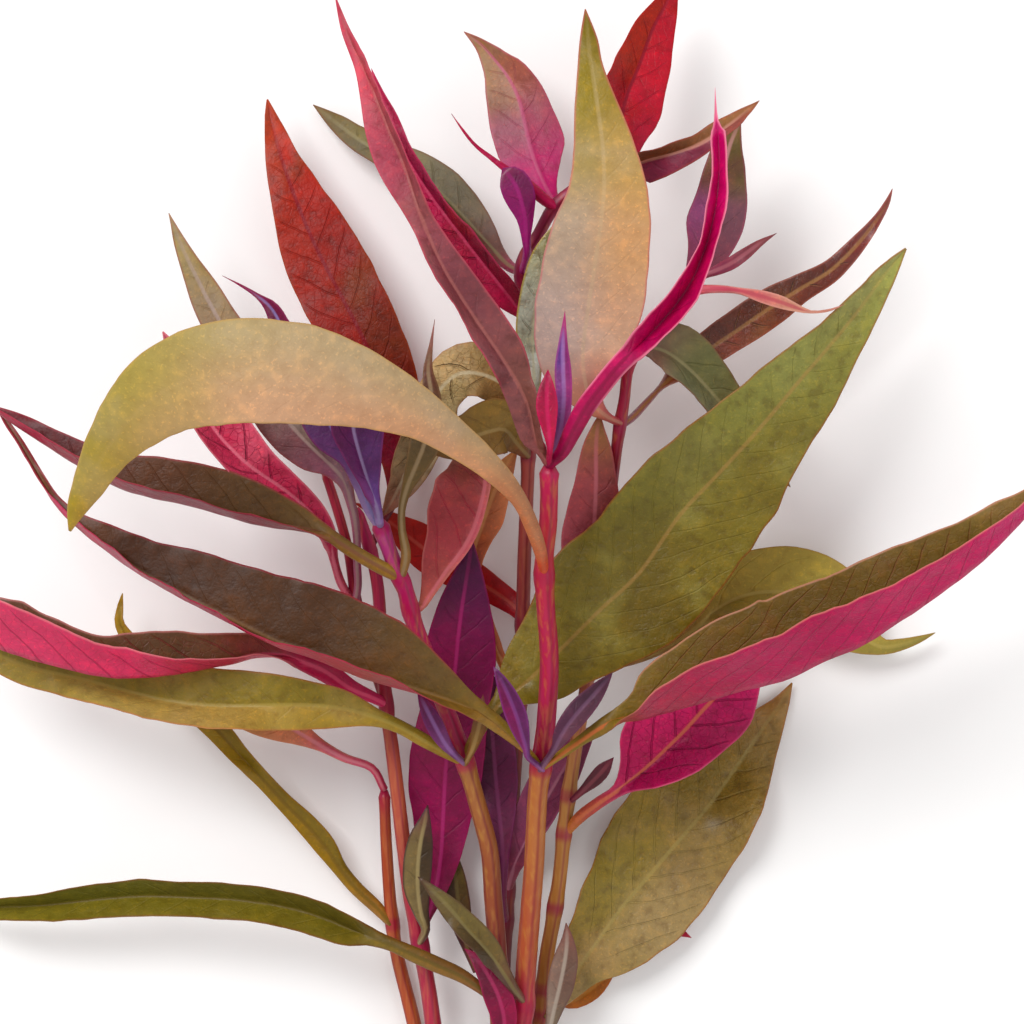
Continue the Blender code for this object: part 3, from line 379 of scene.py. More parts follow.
def leafFinish(leaf):
    board = Board(leaf["node"] + "Finish")
    across, along, under = board.split("leafPlace")
    fromRib, fromEdge, distance = board.split("leafSpan")
    broad = board.noise(leafGrain["broad"], 2.0)
    cloud = board.noise(leafGrain["cloud"])
    grain = board.noise(leafGrain["grain"], 4.0)
    fine = board.noise(leafGrain["fine"], 2.0)
    net = board.cells(leafGrain["net"])
    warped = along + (cloud - 0.5) * leafGrain["wander"]
    leftSkin = board.ramp(warped, leaf["left"])
    rightSkin = board.ramp(warped, leaf.get("right", leaf["left"]))
    side = (across + (grain - 0.5) * 0.2).between(-leaf["soft"], leaf["soft"])
    skin = board.mix(side, leftSkin, rightSkin)
    skin = board.mix(under, skin, board.ramp(warped, leaf["under"]))
    # cloudy patches, which on most leaves are their own mottled tone and on the glossy brown, pink veined
    # and wet olive leaves are painted highlights and reflections, then small freckles
    mottle = leaf["mottle"]
    skin = board.mix(cloud.between(0.5, 0.72) * mottle, skin, paint(leaf.get("patchAndSheen", leaf["edge"])))
    shade = board.mix(1.0, skin, leafGrain["shade"], "MULTIPLY")
    skin = board.mix((1 - broad.between(0.34, 0.52)) * mottle, skin, shade)
    skin = board.mix((1 - grain.between(0.3, 0.5)) * mottle * leafGrain["darkSpots"], skin, shade)
    pale = board.mix(1.0, skin, leafGrain["pale"], "MULTIPLY")
    skin = board.mix(grain.between(0.5, 0.72) * leafGrain["paleSpots"], skin, pale)
    skin = board.mix(fine.between(0.56, 0.75) * leafGrain["paleDots"], skin, pale)
    # side veins leave the midrib at a slant and bend towards the tip
    offset = across.between(-0.02, 0.02) * leafVeins["stagger"]
    bent = fromRib * leafVeins["slant"] + fromRib * fromRib * leafVeins["bend"]
    phase = (distance - bent + (cloud - 0.5) * leafVeins["stray"]) / leafVeins["gap"] + offset
    line = abs(phase.fraction() - 0.5)
    inside = fromRib.between(*leafVeins["ribSide"]) * fromEdge.between(*leafVeins["edgeSide"])
    inside = inside * along.between(*leafVeins["foot"])
    veins = (1 - line.between(*leafVeins["line"])) * inside * (1 - along.between(*leafVeins["tip"]))
    skin = board.mix(veins * leaf["veins"] * (under * 0.5 + 0.5), skin, paint(leaf["vein"]))
    threads = (1 - net.between(*leafVeins["thread"])) * inside
    skin = board.mix(threads * leaf["veins"] * leafGrain["threads"], skin, paint(leaf["vein"]))
    # the midrib fades towards the tip
    rib = (1 - fromRib.between(*leafVeins["rib"])) * fromEdge.between(0.05, 0.5)
    rib = rib * (1 - along.between(0.75, 1.0) * 0.7)
    skin = board.mix(rib * leaf["ribShow"], skin, paint(leaf["rib"]))
    rim = 1 - fromEdge.between(*leafVeins["rim"])
    skin = board.mix(rim * along.between(0.15, 0.25) * leaf["rim"], skin, paint(leaf["edge"]))
    rough = leaf["rough"] + (grain - 0.5) * 0.25
    skin = board.deepen(skin, leafForm["depth"], leafForm["vivid"])
    board.coat(Base_Color=skin, Roughness=rough, Metallic=0.0, Coat_Weight=leaf["gloss"],
               Coat_Roughness=leafGrain["coatRough"], Specular_IOR_Level=leafGrain["specular"])
    # the veins are sunk above and stand out below
    raised = (veins * 2 + threads * 0.4) * leaf["veins"] * (under * 1.3 - 0.5)
    board.bump(raised + grain * 0.5 + fine * 0.2 + cloud * 2.0, leaf["relief"], leafGrain["reliefDepth"])
    return board.material


def halfFold(seen, real, flat):
    # real width of one half of the blade, and how far it stands up
    ratio = seen / real
    angle = 0.0 if flat else math.acos(ratio) * smooth(1 - ratio, *leafForm["flatFold"])
    angle = min(angle, math.radians(leafForm["mostFold"]))
    return (seen / math.cos(angle) if abs(ratio) > 0.05 else real), angle


def leafRow(leaf, curve, share):
    # the upper and lower points across the blade at one place of its midrib
    x, y, height, left, right = curve.read(share)
    forward = curve.along(share)
    level = forward.cross(Vector((0, 0, 1))).normalized()
    up = level.cross(forward)
    # 1 where the leaf is a round stalk, 0 where it is a blade
    narrow = 1 - smooth(max(left, right), *leafForm["stalkWidth"])
    narrow *= 1 - smooth(share, *leafForm["stalkShare"])
    real = max(abs(left), abs(right), leafForm["leastHalf"])
    if leaf["half"]:
        real = max(real, leaf["half"] * spreadAt(height) * smooth(real, 0.3, 1.6) * (1 - narrow))
    curl = math.radians(leaf["curl"]) * (1 - narrow)
    halves = {-1: halfFold(left, real, leaf["flat"]), 1: halfFold(right, real, leaf["flat"])}
    distance = share * curve.length
    blade = (1 - narrow) * smooth(share, *leafForm["bladeStart"])
    blade *= 1 - smooth(share, *leafForm["bladeEnd"])
    slow, quick = leafForm["ruffles"]
    puckers = leafForm["puckers"]
    rows = []
    for part in leafForm["columns"]:
        sign = -1 if part < 0 else 1
        width, fold = halves[sign]
        reach = abs(part)
        ruffle = noise.noise(Vector((distance * slow, sign * 3.0, leaf["seed"])))
        ruffle += 0.5 * noise.noise(Vector((distance * quick, sign * 7.0, leaf["seed"])))
        nibble = noise.noise(Vector((distance * leafForm["nibbles"], sign * 5.0, leaf["seed"])))
        width *= 1 + leafForm["uneven"] * nibble * blade
        spot = Vector((x, y, height))
        for step in range(leafForm["bendSteps"]):
            inner = (step + 0.5) / leafForm["bendSteps"] * reach
            angle = fold * smooth(inner, 0.0, leafForm["crease"]) + curl * inner * inner
            stride = width * reach / leafForm["bendSteps"]
            spot += (level * sign * math.cos(angle) + up * math.sin(angle)) * stride
        angle = fold * smooth(reach, 0.0, leafForm["crease"]) + curl * reach * reach
        lift = up * math.cos(angle) - level * sign * math.sin(angle)
        # soft waves at the margin and a puckered blade between the veins
        across = part * width
        pucker = noise.noise(Vector((distance * puckers, across * puckers, leaf["seed"] + 9.0)))
        rise = leaf["wave"] * ruffle * reach ** 2 + leafForm["pucker"] * pucker * (1 - reach)
        spot += lift * blade * rise
        bulge = math.sqrt(max(1 - part * part, 0.0))
        flatHalf = leafForm["edge"] + (leafForm["blade"] - leafForm["edge"]) * bulge
        thick = leafForm["stalk"] * narrow * bulge + flatHalf * (1 - narrow)
        thick = min(thick, leafForm["thickShare"] * real + leafForm["thickMore"] + narrow)
        ridge = math.exp(-(reach * width / leafForm["ribWidth"]) ** 2) * (1 - narrow)
        ridge *= (1 - share) ** 0.7 * smooth(real, 0.3, 1.2)
        sunk, raised = thick - leafForm["groove"] * ridge, thick + leafForm["rib"] * ridge
        above, below = (raised, sunk) if leaf["back"] else (sunk, raised)
        rows.append((part, spot + lift * above, spot - lift * below, reach * width, (1 - reach) * width))
    return rows


def makeLeaf(node, stem, form):
    leaf = {**leafUsual, **form, "node": node}
    curve = Curve(leaf["stations"])
    columns = len(leafForm["columns"])
    leaf["seed"] = float(sum(ord(letter) for letter in node) % 97)
    count = max(leafForm["leastRows"], int(curve.length / leafForm["rowStep"]))
    points, places, spans, faces = [], [], [], []
    for row in range(count + 1):
        share = min(row / count, leafForm["lastShare"])
        rows = leafRow(leaf, curve, share)
        for under in (0, 1):
            for part, above, below, fromRib, fromEdge in rows:
                points.append(below if under else above)
                places.append((part, share, float(under)))
                spans.append((fromRib, fromEdge, share * curve.length))
    wide = columns * 2
    for row in range(count):
        low, high = row * wide, (row + 1) * wide
        for column in range(columns - 1):
            faces.append((low + column, low + column + 1, high + column + 1, high + column))
            faces.append((low + columns + column + 1, low + columns + column,
                          high + columns + column, high + columns + column + 1))
        faces.append((low + columns - 1, low + wide - 1, high + wide - 1, high + columns - 1))
        faces.append((low + columns, low, high, high + columns))
    for start, turned in ((0, True), (count * wide, False)):
        loop = list(range(start, start + columns)) + list(range(start + wide - 1, start + columns - 1, -1))
        faces.append(tuple(reversed(loop)) if turned else tuple(loop))
    piece = buildMesh(node + "Blade", points, faces, places, spans, leafFinish(leaf))
    keep(piece, node, stem if leaf["extra"] else None)
    leafJoints.setdefault(stem, []).append(curve.at(0.0))


# leaves of the front stem
makeLeaf("long_dark_leaf", "front_stem", {
    "stations": [(541, 768, 24, 4), (528, 752, 27, 4), (513, 739, 28.6, 5, 6), (498, 726, 29.4, 7, 9),
        (480, 713, 29.8, 8, 11), (462, 705, 30.2, 6, 18), (440, 697, 30.5, 2, 31), (415, 689, 30.5, -6, 46),
        (391, 682, 30.5, -13, 58), (365, 674, 30.5, -14, 64), (340, 664, 30.3, -14, 67),
        (311, 652, 30, -11, 67), (281, 643, 29.8, -9, 66), (249, 628, 29.4, -8, 61),
        (219, 613, 29, -7.5, 54), (180, 593, 28.2, -7.5, 47), (140, 571, 27.4, -8, 34),
        (100, 543, 27, -7, 22), (75, 523, 26.4, -5, 12), (55, 502, 25.6, -3, 7), (38, 474, 25, 1.5, 5),
        (20, 443, 24.4, 2, 4), (5, 420, 23.8, 2, 3), (-8, 398, 23)],
    "left": {0: "b88a48", 0.12: "96783e", 0.3: "6a4a2a", 0.7: "5c3a22", 1: "7a4034"},
    "right": {0: "b09040", 0.1: "8c7834", 0.22: "6c542c", 0.4: "5c3c20", 0.7: "5c3820", 0.9: "70402c",
        1: "8a5040"},
    "under": {0: "c08a50", 0.2: "b04858", 0.5: "b82c58", 1: "c85878"},
    "rib": "8a6a40", "edge": "b83e5c", "vein": "7a5c3c", "veins": 0.12, "patchAndSheen": "7a5230", "mottle": 0.4,
    "gloss": 0.14, "relief": 0.4, "ribShow": 0.5,
})

makeLeaf("folded_right_leaf", "front_stem", {
    "stations": [(541, 768, 24, 4), (556, 758, 26.6, 4), (570, 748, 27.6, 5), (586, 737, 28.2, 6),
        (603, 726, 28.6, 8), (622, 719, 29, 14, -2), (640, 717, 29.4, 30, -12), (660, 711, 29.8, 46, -26),
        (700, 699, 30.4, 61, -42), (742, 686, 31.2, 72, -47), (787, 674, 32.2, 78, -54),
        (822, 657, 33.2, 75, -53), (859, 642, 34.4, 73, -55), (900, 616, 35.6, 68, -47),
        (940, 589, 36.8, 58, -39), (980, 559, 38, 45, -30), (1009, 531, 38.8, 34, -22),
        (1030, 508, 39.4, 22, -14), (1050, 474, 40)],
    "left": {0: "a88c40", 0.15: "8a7434", 0.4: "78602c", 0.75: "7c6434", 1: "988450"},
    "under": {0: "a8844a", 0.14: "9a6a40", 0.24: "b0405c", 0.45: "b82460", 0.8: "c42468", 1: "d04480"},
    "rib": "d8805c", "edge": "e0a090", "vein": "901848", "veins": 0.35, "patchAndSheen": "8a4840", "mottle": 0.25,
})

# the pale lavender at the stalk end and on the midrib is painted highlight on a deep magenta bud
makeLeaf("left_axil_bud", "front_stem", {
    "stations": [(541, 768, 25, 3), (528, 757, 29.5, 3), (526, 748, 31, 4), (522, 735, 32, 8),
        (516, 715, 33, 11), (508, 695, 33.5, 9), (500, 678, 33.5, 5), (493, 666, 33.5)],
    "left": {0: "a880a8", 0.2: "8a3c74", 0.6: "7a1c56", 1: "601444"},
    "right": {0: "a880a8", 0.2: "744074", 0.6: "642458", 1: "501444"},
    "under": {0: "8a3060", 1: "6a1c50"},
    "rib": "94609c", "edge": "8c4888", "vein": "4a1444", "veins": 0.3, "ribShow": 0.4,
})

makeLeaf("right_axil_bud", "front_stem", {
    "stations": [(541, 768, 25, 3), (555, 748, 30.5, 4), (560, 738, 31.5, 8), (568, 725, 32, 11),
        (580, 710, 32, 12), (592, 697, 31.6, 10), (603, 684, 31, 6), (613, 672, 30.4)],
    "left": {0: "987088", 0.3: "603850", 1: "442438"},
    "right": {0: "987088", 0.3: "704858", 1: "543044"},
    "under": {0: "6a3050", 1: "4a2040"},
    "rib": "8a6a84", "edge": "744058", "vein": "341830", "veins": 0.3, "ribShow": 0.4,
})

makeLeaf("arching_leaf", "front_stem", {
    "stations": [(545, 576, 32, 4), (541, 552, 36, 7, 6), (533, 528, 40, 8, 7), (521, 503, 44.5, 8),
        (505, 482, 48.5, 11), (480, 458, 52, 15), (450, 435, 55, 20), (421, 415, 57.5, 26, 25),
        (384, 397, 60, 36, 35), (347, 385, 61.8, 43, 44), (311, 376, 62.8, 50), (278, 371, 63, 53),
        (234, 371, 62.6, 53), (196, 378, 61, 51), (161, 393, 58, 45), (130, 419, 54.5, 36),
        (106, 451, 50, 25), (88, 485, 45.5, 17), (76, 510, 42.5, 10), (69, 534, 40)],
    "left": {0: "c8604c", 0.1: "c88460", 0.3: "c89c7c", 0.55: "c8a488", 0.72: "b89c70", 0.88: "ac9450",
        1: "a88c44"},
    "right": {0: "c8604c", 0.1: "b88468", 0.3: "b09878", 0.5: "b8a484", 0.75: "a89858", 1: "a89440"},
    "under": {0: "c06050", 0.4: "b88a68", 1: "a88850"},
    "rib": "c4a880", "edge": "c09a60", "vein": "b08a60", "veins": 0.06, "patchAndSheen": "b8aca0", "mottle": 0.15,
    "rough": 0.5, "ribShow": 0.1, "relief": 0.4, "wave": 0.3, "soft": 0.9, "curl": -22,
})

makeLeaf("mauve_leaf", "front_stem", {
    "stations": [(549, 466, 35.6, 4), (541, 450, 37.6, 6, 4), (535, 436, 39.4, 15, 5), (526, 400, 42, 19, 9),
        (503, 360, 44.5, 14, 25), (469, 310, 46, 11, 26), (440, 262, 47, 10, 21), (421, 216, 47.5, 14, 11),
        (405, 168, 47, 26, 5), (389, 130, 47, 24, 4), (365, 70, 46, 10, 4), (346, 30, 45, 5, 4),
        (334, -8, 44)],
    "left": {0: "a86a68", 0.15: "88585a", 0.45: "985860", 0.65: "ac5868", 0.85: "c85c6c", 1: "c83c60"},
    "right": {0: "a06a60", 0.15: "80544c", 0.4: "8c545c", 0.65: "9c545c", 0.85: "b85864", 1: "b84058"},
    "under": {0: "a83058", 1: "c03a70"},
    "rib": "b87c74", "edge": "cc6474", "vein": "6a3440", "veins": 0.15, "patchAndSheen": "90605c", "mottle": 0.5,
    "ribShow": 0.45,
})

makeLeaf("pink_channel_leaf", "front_stem", {
    "stations": [(549, 466, 36, 4), (562, 452, 39, 7), (572, 432, 41.5, 9), (585, 408, 43.5, 10),
        (600, 388, 45, 10), (618, 366, 46.6, 10), (637, 347, 48.2, 11), (656, 328, 49.6, 12),
        (675, 306, 51, 12), (690, 284, 52.2, 11), (700, 262, 52.8, 9), (709, 236, 53.2, 8.5),
        (716, 204, 53.4, 8), (719, 170, 53, 7), (718, 136, 52, 6.5), (716, 118, 51.2, 2), (715, 85, 50)],
    "left": {0: "a82c5c", 0.2: "b02860", 0.6: "c22c68", 1: "d84488"},
    "right": {0: "a03058", 0.2: "9c2454", 0.6: "b82460", 1: "d03c80"},
    "under": {0: "b83a64", 0.5: "c03a70", 1: "d85890"},
    "rib": "8a1a48", "edge": "e490a4", "vein": "8a1848", "veins": 0.35, "patchAndSheen": "d06a90", "mottle": 0.25,
    "rim": 0.9, "half": 30,
})

makeLeaf("crimson_tip_leaf", "front_stem", {
    "stations": [(549, 460, 38.4, 3), (550, 446, 43, 3.5), (549, 430, 43.5, 7), (547, 408, 44, 11),
        (547, 388, 44, 8), (548, 369, 43.5)],
    "left": {0: "b83a60", 0.4: "a81c48", 1: "8a1440"},
    "right": {0: "b83a60", 0.4: "b82450", 1: "981848"},
    "under": {0: "a82050", 1: "8a1440"},
    "rib": "c84a70", "edge": "c83a68", "vein": "7a1038", "veins": 0.3,
})

makeLeaf("purple_tip_leaf", "front_stem", {
    "stations": [(550, 466, 35.5, 3), (557, 445, 37, 6), (562, 420, 38, 8), (564, 395, 38.5, 8),
        (563, 370, 38.5, 8.5), (563, 345, 38.5, 5), (565, 310, 38.5)],
    "left": {0: "c890b0", 0.3: "8c5c98", 0.75: "70468a", 1: "b03058"},
    "right": {0: "c890b0", 0.3: "9c4c88", 0.75: "883a74", 1: "b03058"},
    "under": {0: "9a3a70", 1: "8a2858"},
    "rib": "a884b8", "edge": "b85a94", "vein": "5a2c68", "veins": 0.3,
})

makeLeaf("small_olive_leaf", "front_stem", {
    "stations": [(526, 1004, 11, 4), (515, 990, 14.5, 5), (503, 972, 17, 8), (490, 955, 18.2, 9, 14),
        (477, 940, 18.8, 9, 16), (465, 927, 19, 10, 15), (453, 912, 19.1, 11, 12), (440, 898, 19, 8),
        (428, 886, 18.8, 4), (417, 876, 18.6)],
    "left": {0: "984858", 0.2: "64463c", 0.5: "54442c", 0.8: "6c5c38", 1: "5c4434"},
    "right": {0: "984858", 0.2: "74503c", 0.5: "746438", 0.8: "74683c", 1: "5c4434"},
    "under": {0: "94485c", 1: "845c48"},
    "rib": "847850", "edge": "5c402c", "vein": "443820", "veins": 0.35, "gloss": 0.2,
})

print("leaves of the front stem made")


# leaves of the second stem
makeLeaf("left_olive_leaf", "second_stem", {
    "stations": [(465, 762, 17, 5), (445, 752, 19.5, 6), (420, 738, 21.5, 7), (398, 726, 22.2, 7),
        (375, 717, 23, 10, 9), (345, 709, 23.4, 19, 18), (310, 705, 23.5, 25, 24), (270, 705, 23.5, 25, 32),
        (225, 706, 22.6, 19, 37), (176, 702, 21.4, 17, 38), (130, 692, 20.4, 17, 34), (85, 680, 20, 18, 28),
        (31, 667, 19.5, 20, 21), (-15, 648, 19, 14), (-60, 625, 18.5)],
    "left": {0: "b09048", 0.2: "a48c40", 0.5: "b0985c", 0.8: "a89854", 1: "a09050"},
    "right": {0: "a88c44", 0.2: "8c7c34", 0.5: "8c7c38", 0.8: "8c8040", 1: "8c8444"},
    "under": {0: "b08050", 0.5: "b06a60", 1: "b86068"},
    "rib": "b0a060", "edge": "b87a54", "vein": "a08c4c", "veins": 0.14, "patchAndSheen": "b09868", "mottle": 0.4,
    "ribShow": 0.4,
})

makeLeaf("big_right_leaf", "second_stem", {
    "stations": [(465, 762, 17, 5), (472, 744, 19, 6), (484, 722, 20, 7), (500, 704, 20.4, 10, 8),
        (514, 693, 20.6, 24, 12), (534, 675, 20.8, 38, 34), (560, 650, 21, 49, 45), (600, 610, 21.6, 70, 66),
        (640, 572, 22.2, 68, 74), (680, 515, 23, 62, 77), (720, 472, 23.8, 56, 70), (760, 428, 24.4, 46, 53),
        (800, 380, 25, 34, 44), (830, 345, 25.3, 23, 32), (860, 308, 25.3, 16, 21), (886, 272, 24.8, 8, 12),
        (908, 246, 24)],
    "left": {0: "a07c3c", 0.1: "8a7634", 0.35: "7e7230", 0.6: "848040", 0.8: "98985c", 1: "acac74"},
    "right": {0: "a07c3c", 0.1: "7c6c2c", 0.35: "7c6c28", 0.6: "847834", 0.8: "8c8848", 1: "a4a864"},
    "under": {0: "b07a4a", 0.5: "a86858", 1: "a87a58"},
    "rib": "b08c5c", "edge": "a8603c", "vein": "a09850", "veins": 0.14, "patchAndSheen": "989054", "mottle": 0.5,
    "rough": 0.42, "gloss": 0.14, "relief": 0.8, "wave": 0.5, "ribShow": 0.45, "soft": 0.5,
})

makeLeaf("twisted_left_leaf", "second_stem", {
    "stations": [(400, 578, 24, 5), (386, 570, 25.5, 7), (366, 559, 26.5, 7), (345, 546, 27, 7),
        (325, 534, 27.2, 4, 9), (300, 528, 27.2, -3, 22), (270, 524, 27.2, -7, 34), (240, 517, 27.2, -9, 40),
        (210, 508, 27.2, -10, 41), (180, 500, 27, -10, 40), (150, 494, 26.8, -10, 38),
        (120, 485, 26.6, -10, 33), (95, 473, 26.4, -10, 26), (65, 455, 26, -9, 20), (35, 436, 25.6, -7, 15),
        (10, 420, 25.2, -5, 10), (-12, 404, 25)],
    "left": {0: "b08a48", 0.2: "8a6a3c", 0.5: "6a4a2c", 1: "6a2c34"},
    "right": {0: "b09050", 0.15: "8a7040", 0.35: "6c5030", 0.6: "64402c", 0.85: "682c30", 1: "7a2434"},
    "under": {0: "a85848", 0.4: "982c48", 1: "a82448"},
    "rib": "8a5c48", "edge": "b85060", "vein": "4c2c20", "veins": 0.25, "patchAndSheen": "7a5840", "gloss": 0.12,
})

makeLeaf("dark_small_leaf", "second_stem", {
    "stations": [(402, 576, 24.4, 4), (406, 555, 26, 5), (402, 530, 27, 4), (402, 508, 27.8, 4),
        (407, 488, 28.4, 6), (415, 468, 29, 10, 11), (424, 445, 29.4, 15, 16), (430, 418, 29.6, 14),
        (431, 392, 29.4, 9), (428, 370, 29.2, 5), (431, 345, 29, 2), (435, 318, 28.8)],
    "left": {0: "a88458", 0.3: "74603c", 0.6: "5c4c34", 0.85: "6c4038", 1: "a84c6c"},
    "under": {0: "8a5048", 1: "7a3848"},
    "rib": "a08c70", "edge": "8a6c4c", "vein": "4c3c28", "veins": 0.25,
})

makeLeaf("veined_back_leaf", "second_stem", {
    "stations": [(412, 608, 22.4, 4), (421, 607, 20.5, 4), (432, 592, 19.6, 13, 4), (447, 570, 18.8, 30, 5),
        (462, 550, 18.2, 42, 6), (473, 530, 17.6, 50, 6), (480, 508, 17, 50, 6), (485, 484, 16.4, 50, 6),
        (484, 463, 15.8, 42, 6), (477, 445, 15.2, 26, 5), (468, 432, 14.8)],
    "left": {0: "c87c6c", 0.3: "b85c62", 0.65: "a85458", 1: "a06c5c"},
    "right": {0: "d88c7c", 0.5: "d0707c", 1: "b87868"},
    "under": {0: "a06048", 1: "8a5a40"},
    "rib": "d8848c", "edge": "d89088", "vein": "c03a5c", "veins": 0.5, "patchAndSheen": "98644c", "mottle": 0.3,
    "back": True, "flat": True,
})

# the pale lavender at the stalk end and on the midrib is painted highlight on a dark violet leaf
makeLeaf("violet_left_leaf", "second_stem", {
    "stations": [(379, 527, 26, 4), (370, 508, 27.6, 7, 6), (361, 485, 28.6, 8), (349, 458, 29.2, 11, 12),
        (334, 432, 29.4, 24, 16), (315, 395, 29.4, 24, 16), (297, 358, 29.2, 20, 14), (284, 330, 29, 13, 9),
        (272, 308, 28.7, 8, 5), (258, 296, 28.4, 3, 2.5), (240, 285, 28, 1.2), (221, 275, 27.6)],
    "left": {0: "a890b8", 0.3: "6c4478", 0.5: "502c50", 0.75: "6c2448", 1: "a42450"},
    "right": {0: "a890b8", 0.3: "604080", 0.5: "4c2848", 0.75: "781c48", 1: "a42450"},
    "under": {0: "8a3c60", 1: "a82850"},
    "rib": "9088b8", "edge": "8c3460", "vein": "3c1c38", "veins": 0.3,
})

# the pale lavender at the stalk end and on the midrib is painted highlight on a dark violet leaf
makeLeaf("violet_right_leaf", "second_stem", {
    "stations": [(380, 524, 27.2, 4), (377, 508, 29.5, 5), (370, 490, 31, 6, 10), (364, 470, 32, 10, 18),
        (358, 450, 32.4, 14, 26), (353, 428, 32.6, 20, 32), (352, 405, 32.6, 18, 28),
        (356, 385, 32.4, 9, 14), (362, 368, 32)],
    "left": {0: "a890c0", 0.2: "84508c", 0.5: "6c2c60", 1: "5c2450"},
    "right": {0: "a890c0", 0.2: "745090", 0.45: "5c2c60", 1: "4c1c48"},
    "under": {0: "8a3c68", 1: "7a2c50"},
    "rib": "a090b0", "edge": "8c3c70", "vein": "44204c", "veins": 0.35, "patchAndSheen": "7c5890",
})

makeLeaf("lower_left_leaf", "second_stem", {
    "stations": [(503, 1010, 7.8, 4), (485, 992, 12, 5), (462, 976, 13.4, 7), (440, 966, 14, 8),
        (415, 955, 14.2, 8), (393, 945, 14, 7), (375, 938, 13.8, 9, 8), (350, 929, 13.4, 14),
        (320, 917, 12.9, 17, 16), (285, 907, 12.4, 17), (240, 900, 11.8, 17), (190, 897, 11, 17),
        (140, 896, 10, 17), (90, 900, 9, 16), (45, 905, 8, 12), (0, 907, 6.8, 9), (-35, 909, 5.6, 5),
        (-65, 912, 4.6)],
    "left": {0: "985048", 0.12: "8c6c3c", 0.35: "7c7030", 0.7: "847a34", 1: "948844"},
    "right": {0: "985048", 0.12: "7c5c34", 0.35: "6a6028", 0.7: "747030", 1: "8c8440"},
    "under": {0: "a86050", 1: "a07848"},
    "rib": "6c5c2c", "edge": "84502c", "vein": "948848", "veins": 0.2, "patchAndSheen": "6c5c34", "wave": 0.25,
    "half": 26,
})

makeLeaf("crimson_low_leaf", "second_stem", {
    "stations": [(494, 1088, 7.3, 4), (500, 1064, 12, 5), (504, 1040, 13.6, 9), (504, 1018, 14.2, 13),
        (498, 995, 14.4, 15, 14), (488, 975, 14.2, 11, 10), (476, 958, 13.8, 6, 5), (464, 948, 13.4)],
    "left": {0: "8a2448", 0.4: "7a1840", 0.8: "6c1c3c", 1: "8a3050"},
    "right": {0: "9a3054", 0.4: "94204c", 0.8: "7c2044", 1: "8a3050"},
    "under": {0: "a82c58", 1: "8a2048"},
    "rib": "b04c70", "edge": "a83c60", "vein": "5c1030", "veins": 0.3,
})

print("leaves of the second stem made")


# leaves of the three stems on the left
makeLeaf("pink_twisted_leaf", "short_left_stem", {
    "stations": [(386, 704, 13.5, 5), (372, 697, 15.5, 6), (350, 688, 17, 9), (325, 671, 18.4, 11),
        (303, 662, 19.4, 9, 10), (280, 655, 20.4, 3, 14), (255, 655, 22.4, -2, 22), (235, 660, 24, -5, 28),
        (210, 665, 25, -9, 32), (180, 670, 25.8, -18, 40), (150, 674, 26.4, -27, 43),
        (120, 675, 27, -35, 41), (95, 672, 27.4, -36, 37), (70, 666, 27.6, -41, 38),
        (40, 658, 27.8, -47, 43), (0, 645, 28, -54, 48), (-32, 626, 27.6, -42, 38), (-62, 600, 27, -22, 20),
        (-88, 566, 26.4)],
    "left": {0: "c04068", 0.2: "b83c60", 0.32: "7c4c38", 0.5: "6c4a30", 1: "7a5038"},
    "right": {0: "b83c64", 0.2: "ac3c5c", 0.3: "7c5038", 0.45: "6a4a2e", 0.7: "74503a", 1: "7c5040"},
    "under": {0: "c43c68", 0.3: "b84460", 0.5: "cc4c6c", 0.75: "d45878", 1: "dc6884"},
    "rib": "e0708c", "edge": "e49c9c", "vein": "a0204c", "veins": 0.5, "patchAndSheen": "d87088", "mottle": 0.2,
    "gloss": 0.14,
})

# the light pink cloudy patches on this leaf are painted highlights
makeLeaf("pink_veined_leaf", "left_fork_stem", {
    "stations": [(353, 602, 10.8, 4), (341, 583, 12.4, 4.5), (334, 560, 16, 4.5), (327, 536, 19.5, 6, 10),
        (313, 516, 21, 9, 15), (298, 501, 22, 11, 17), (280, 487, 22.8, 14, 20), (255, 470, 23.4, 16, 26),
        (235, 453, 23.6, 15, 32), (216, 432, 23.6, 13, 34), (200, 405, 23.4, 12, 30), (185, 375, 23, 9, 20),
        (172, 350, 22.6, 5, 9), (162, 330, 22.4)],
    "left": {0: "c86478", 0.25: "c44c6c", 0.6: "cc5470", 1: "b85868"},
    "right": {0: "c86478", 0.25: "bc4864", 0.6: "c44c68", 1: "b85868"},
    "under": {0: "b84060", 1: "a04850"},
    "rib": "dc8898", "edge": "e098a0", "vein": "98284c", "veins": 0.8, "patchAndSheen": "d87c8c", "mottle": 0.4,
    "relief": 0.8,
})

makeLeaf("long_grey_leaf", "left_fork_stem", {
    "stations": [(355, 606, 11, 4), (358, 584, 14, 4), (357, 562, 17, 4), (357, 542, 18, 4),
        (355, 520, 18.3, 4.5), (351, 503, 18.4, 5), (346, 483, 18.6, 8, 6), (333, 467, 19, 12, 10),
        (315, 450, 19.2, 24, 14), (290, 424, 19, 28, 24), (262, 388, 18.6, 25, 24), (238, 350, 18, 21, 22),
        (222, 325, 17.4, 19), (208, 300, 16.6, 17), (198, 280, 16, 13.5, 14), (188, 260, 15.4, 9.5),
        (179, 240, 14.8, 6), (173, 224, 14.4, 2.5), (168, 211, 14)],
    "left": {0: "b06080", 0.3: "945c74", 0.45: "7c5458", 0.65: "8c7058", 1: "9a8a58"},
    "right": {0: "b06080", 0.3: "8c6074", 0.45: "847068", 0.65: "947c60", 1: "a08c5c"},
    "under": {0: "98405c", 1: "a06c58"},
    "rib": "a8948c", "edge": "a0605c", "vein": "6c4c48", "veins": 0.25, "patchAndSheen": "a0948c", "mottle": 0.4,
})

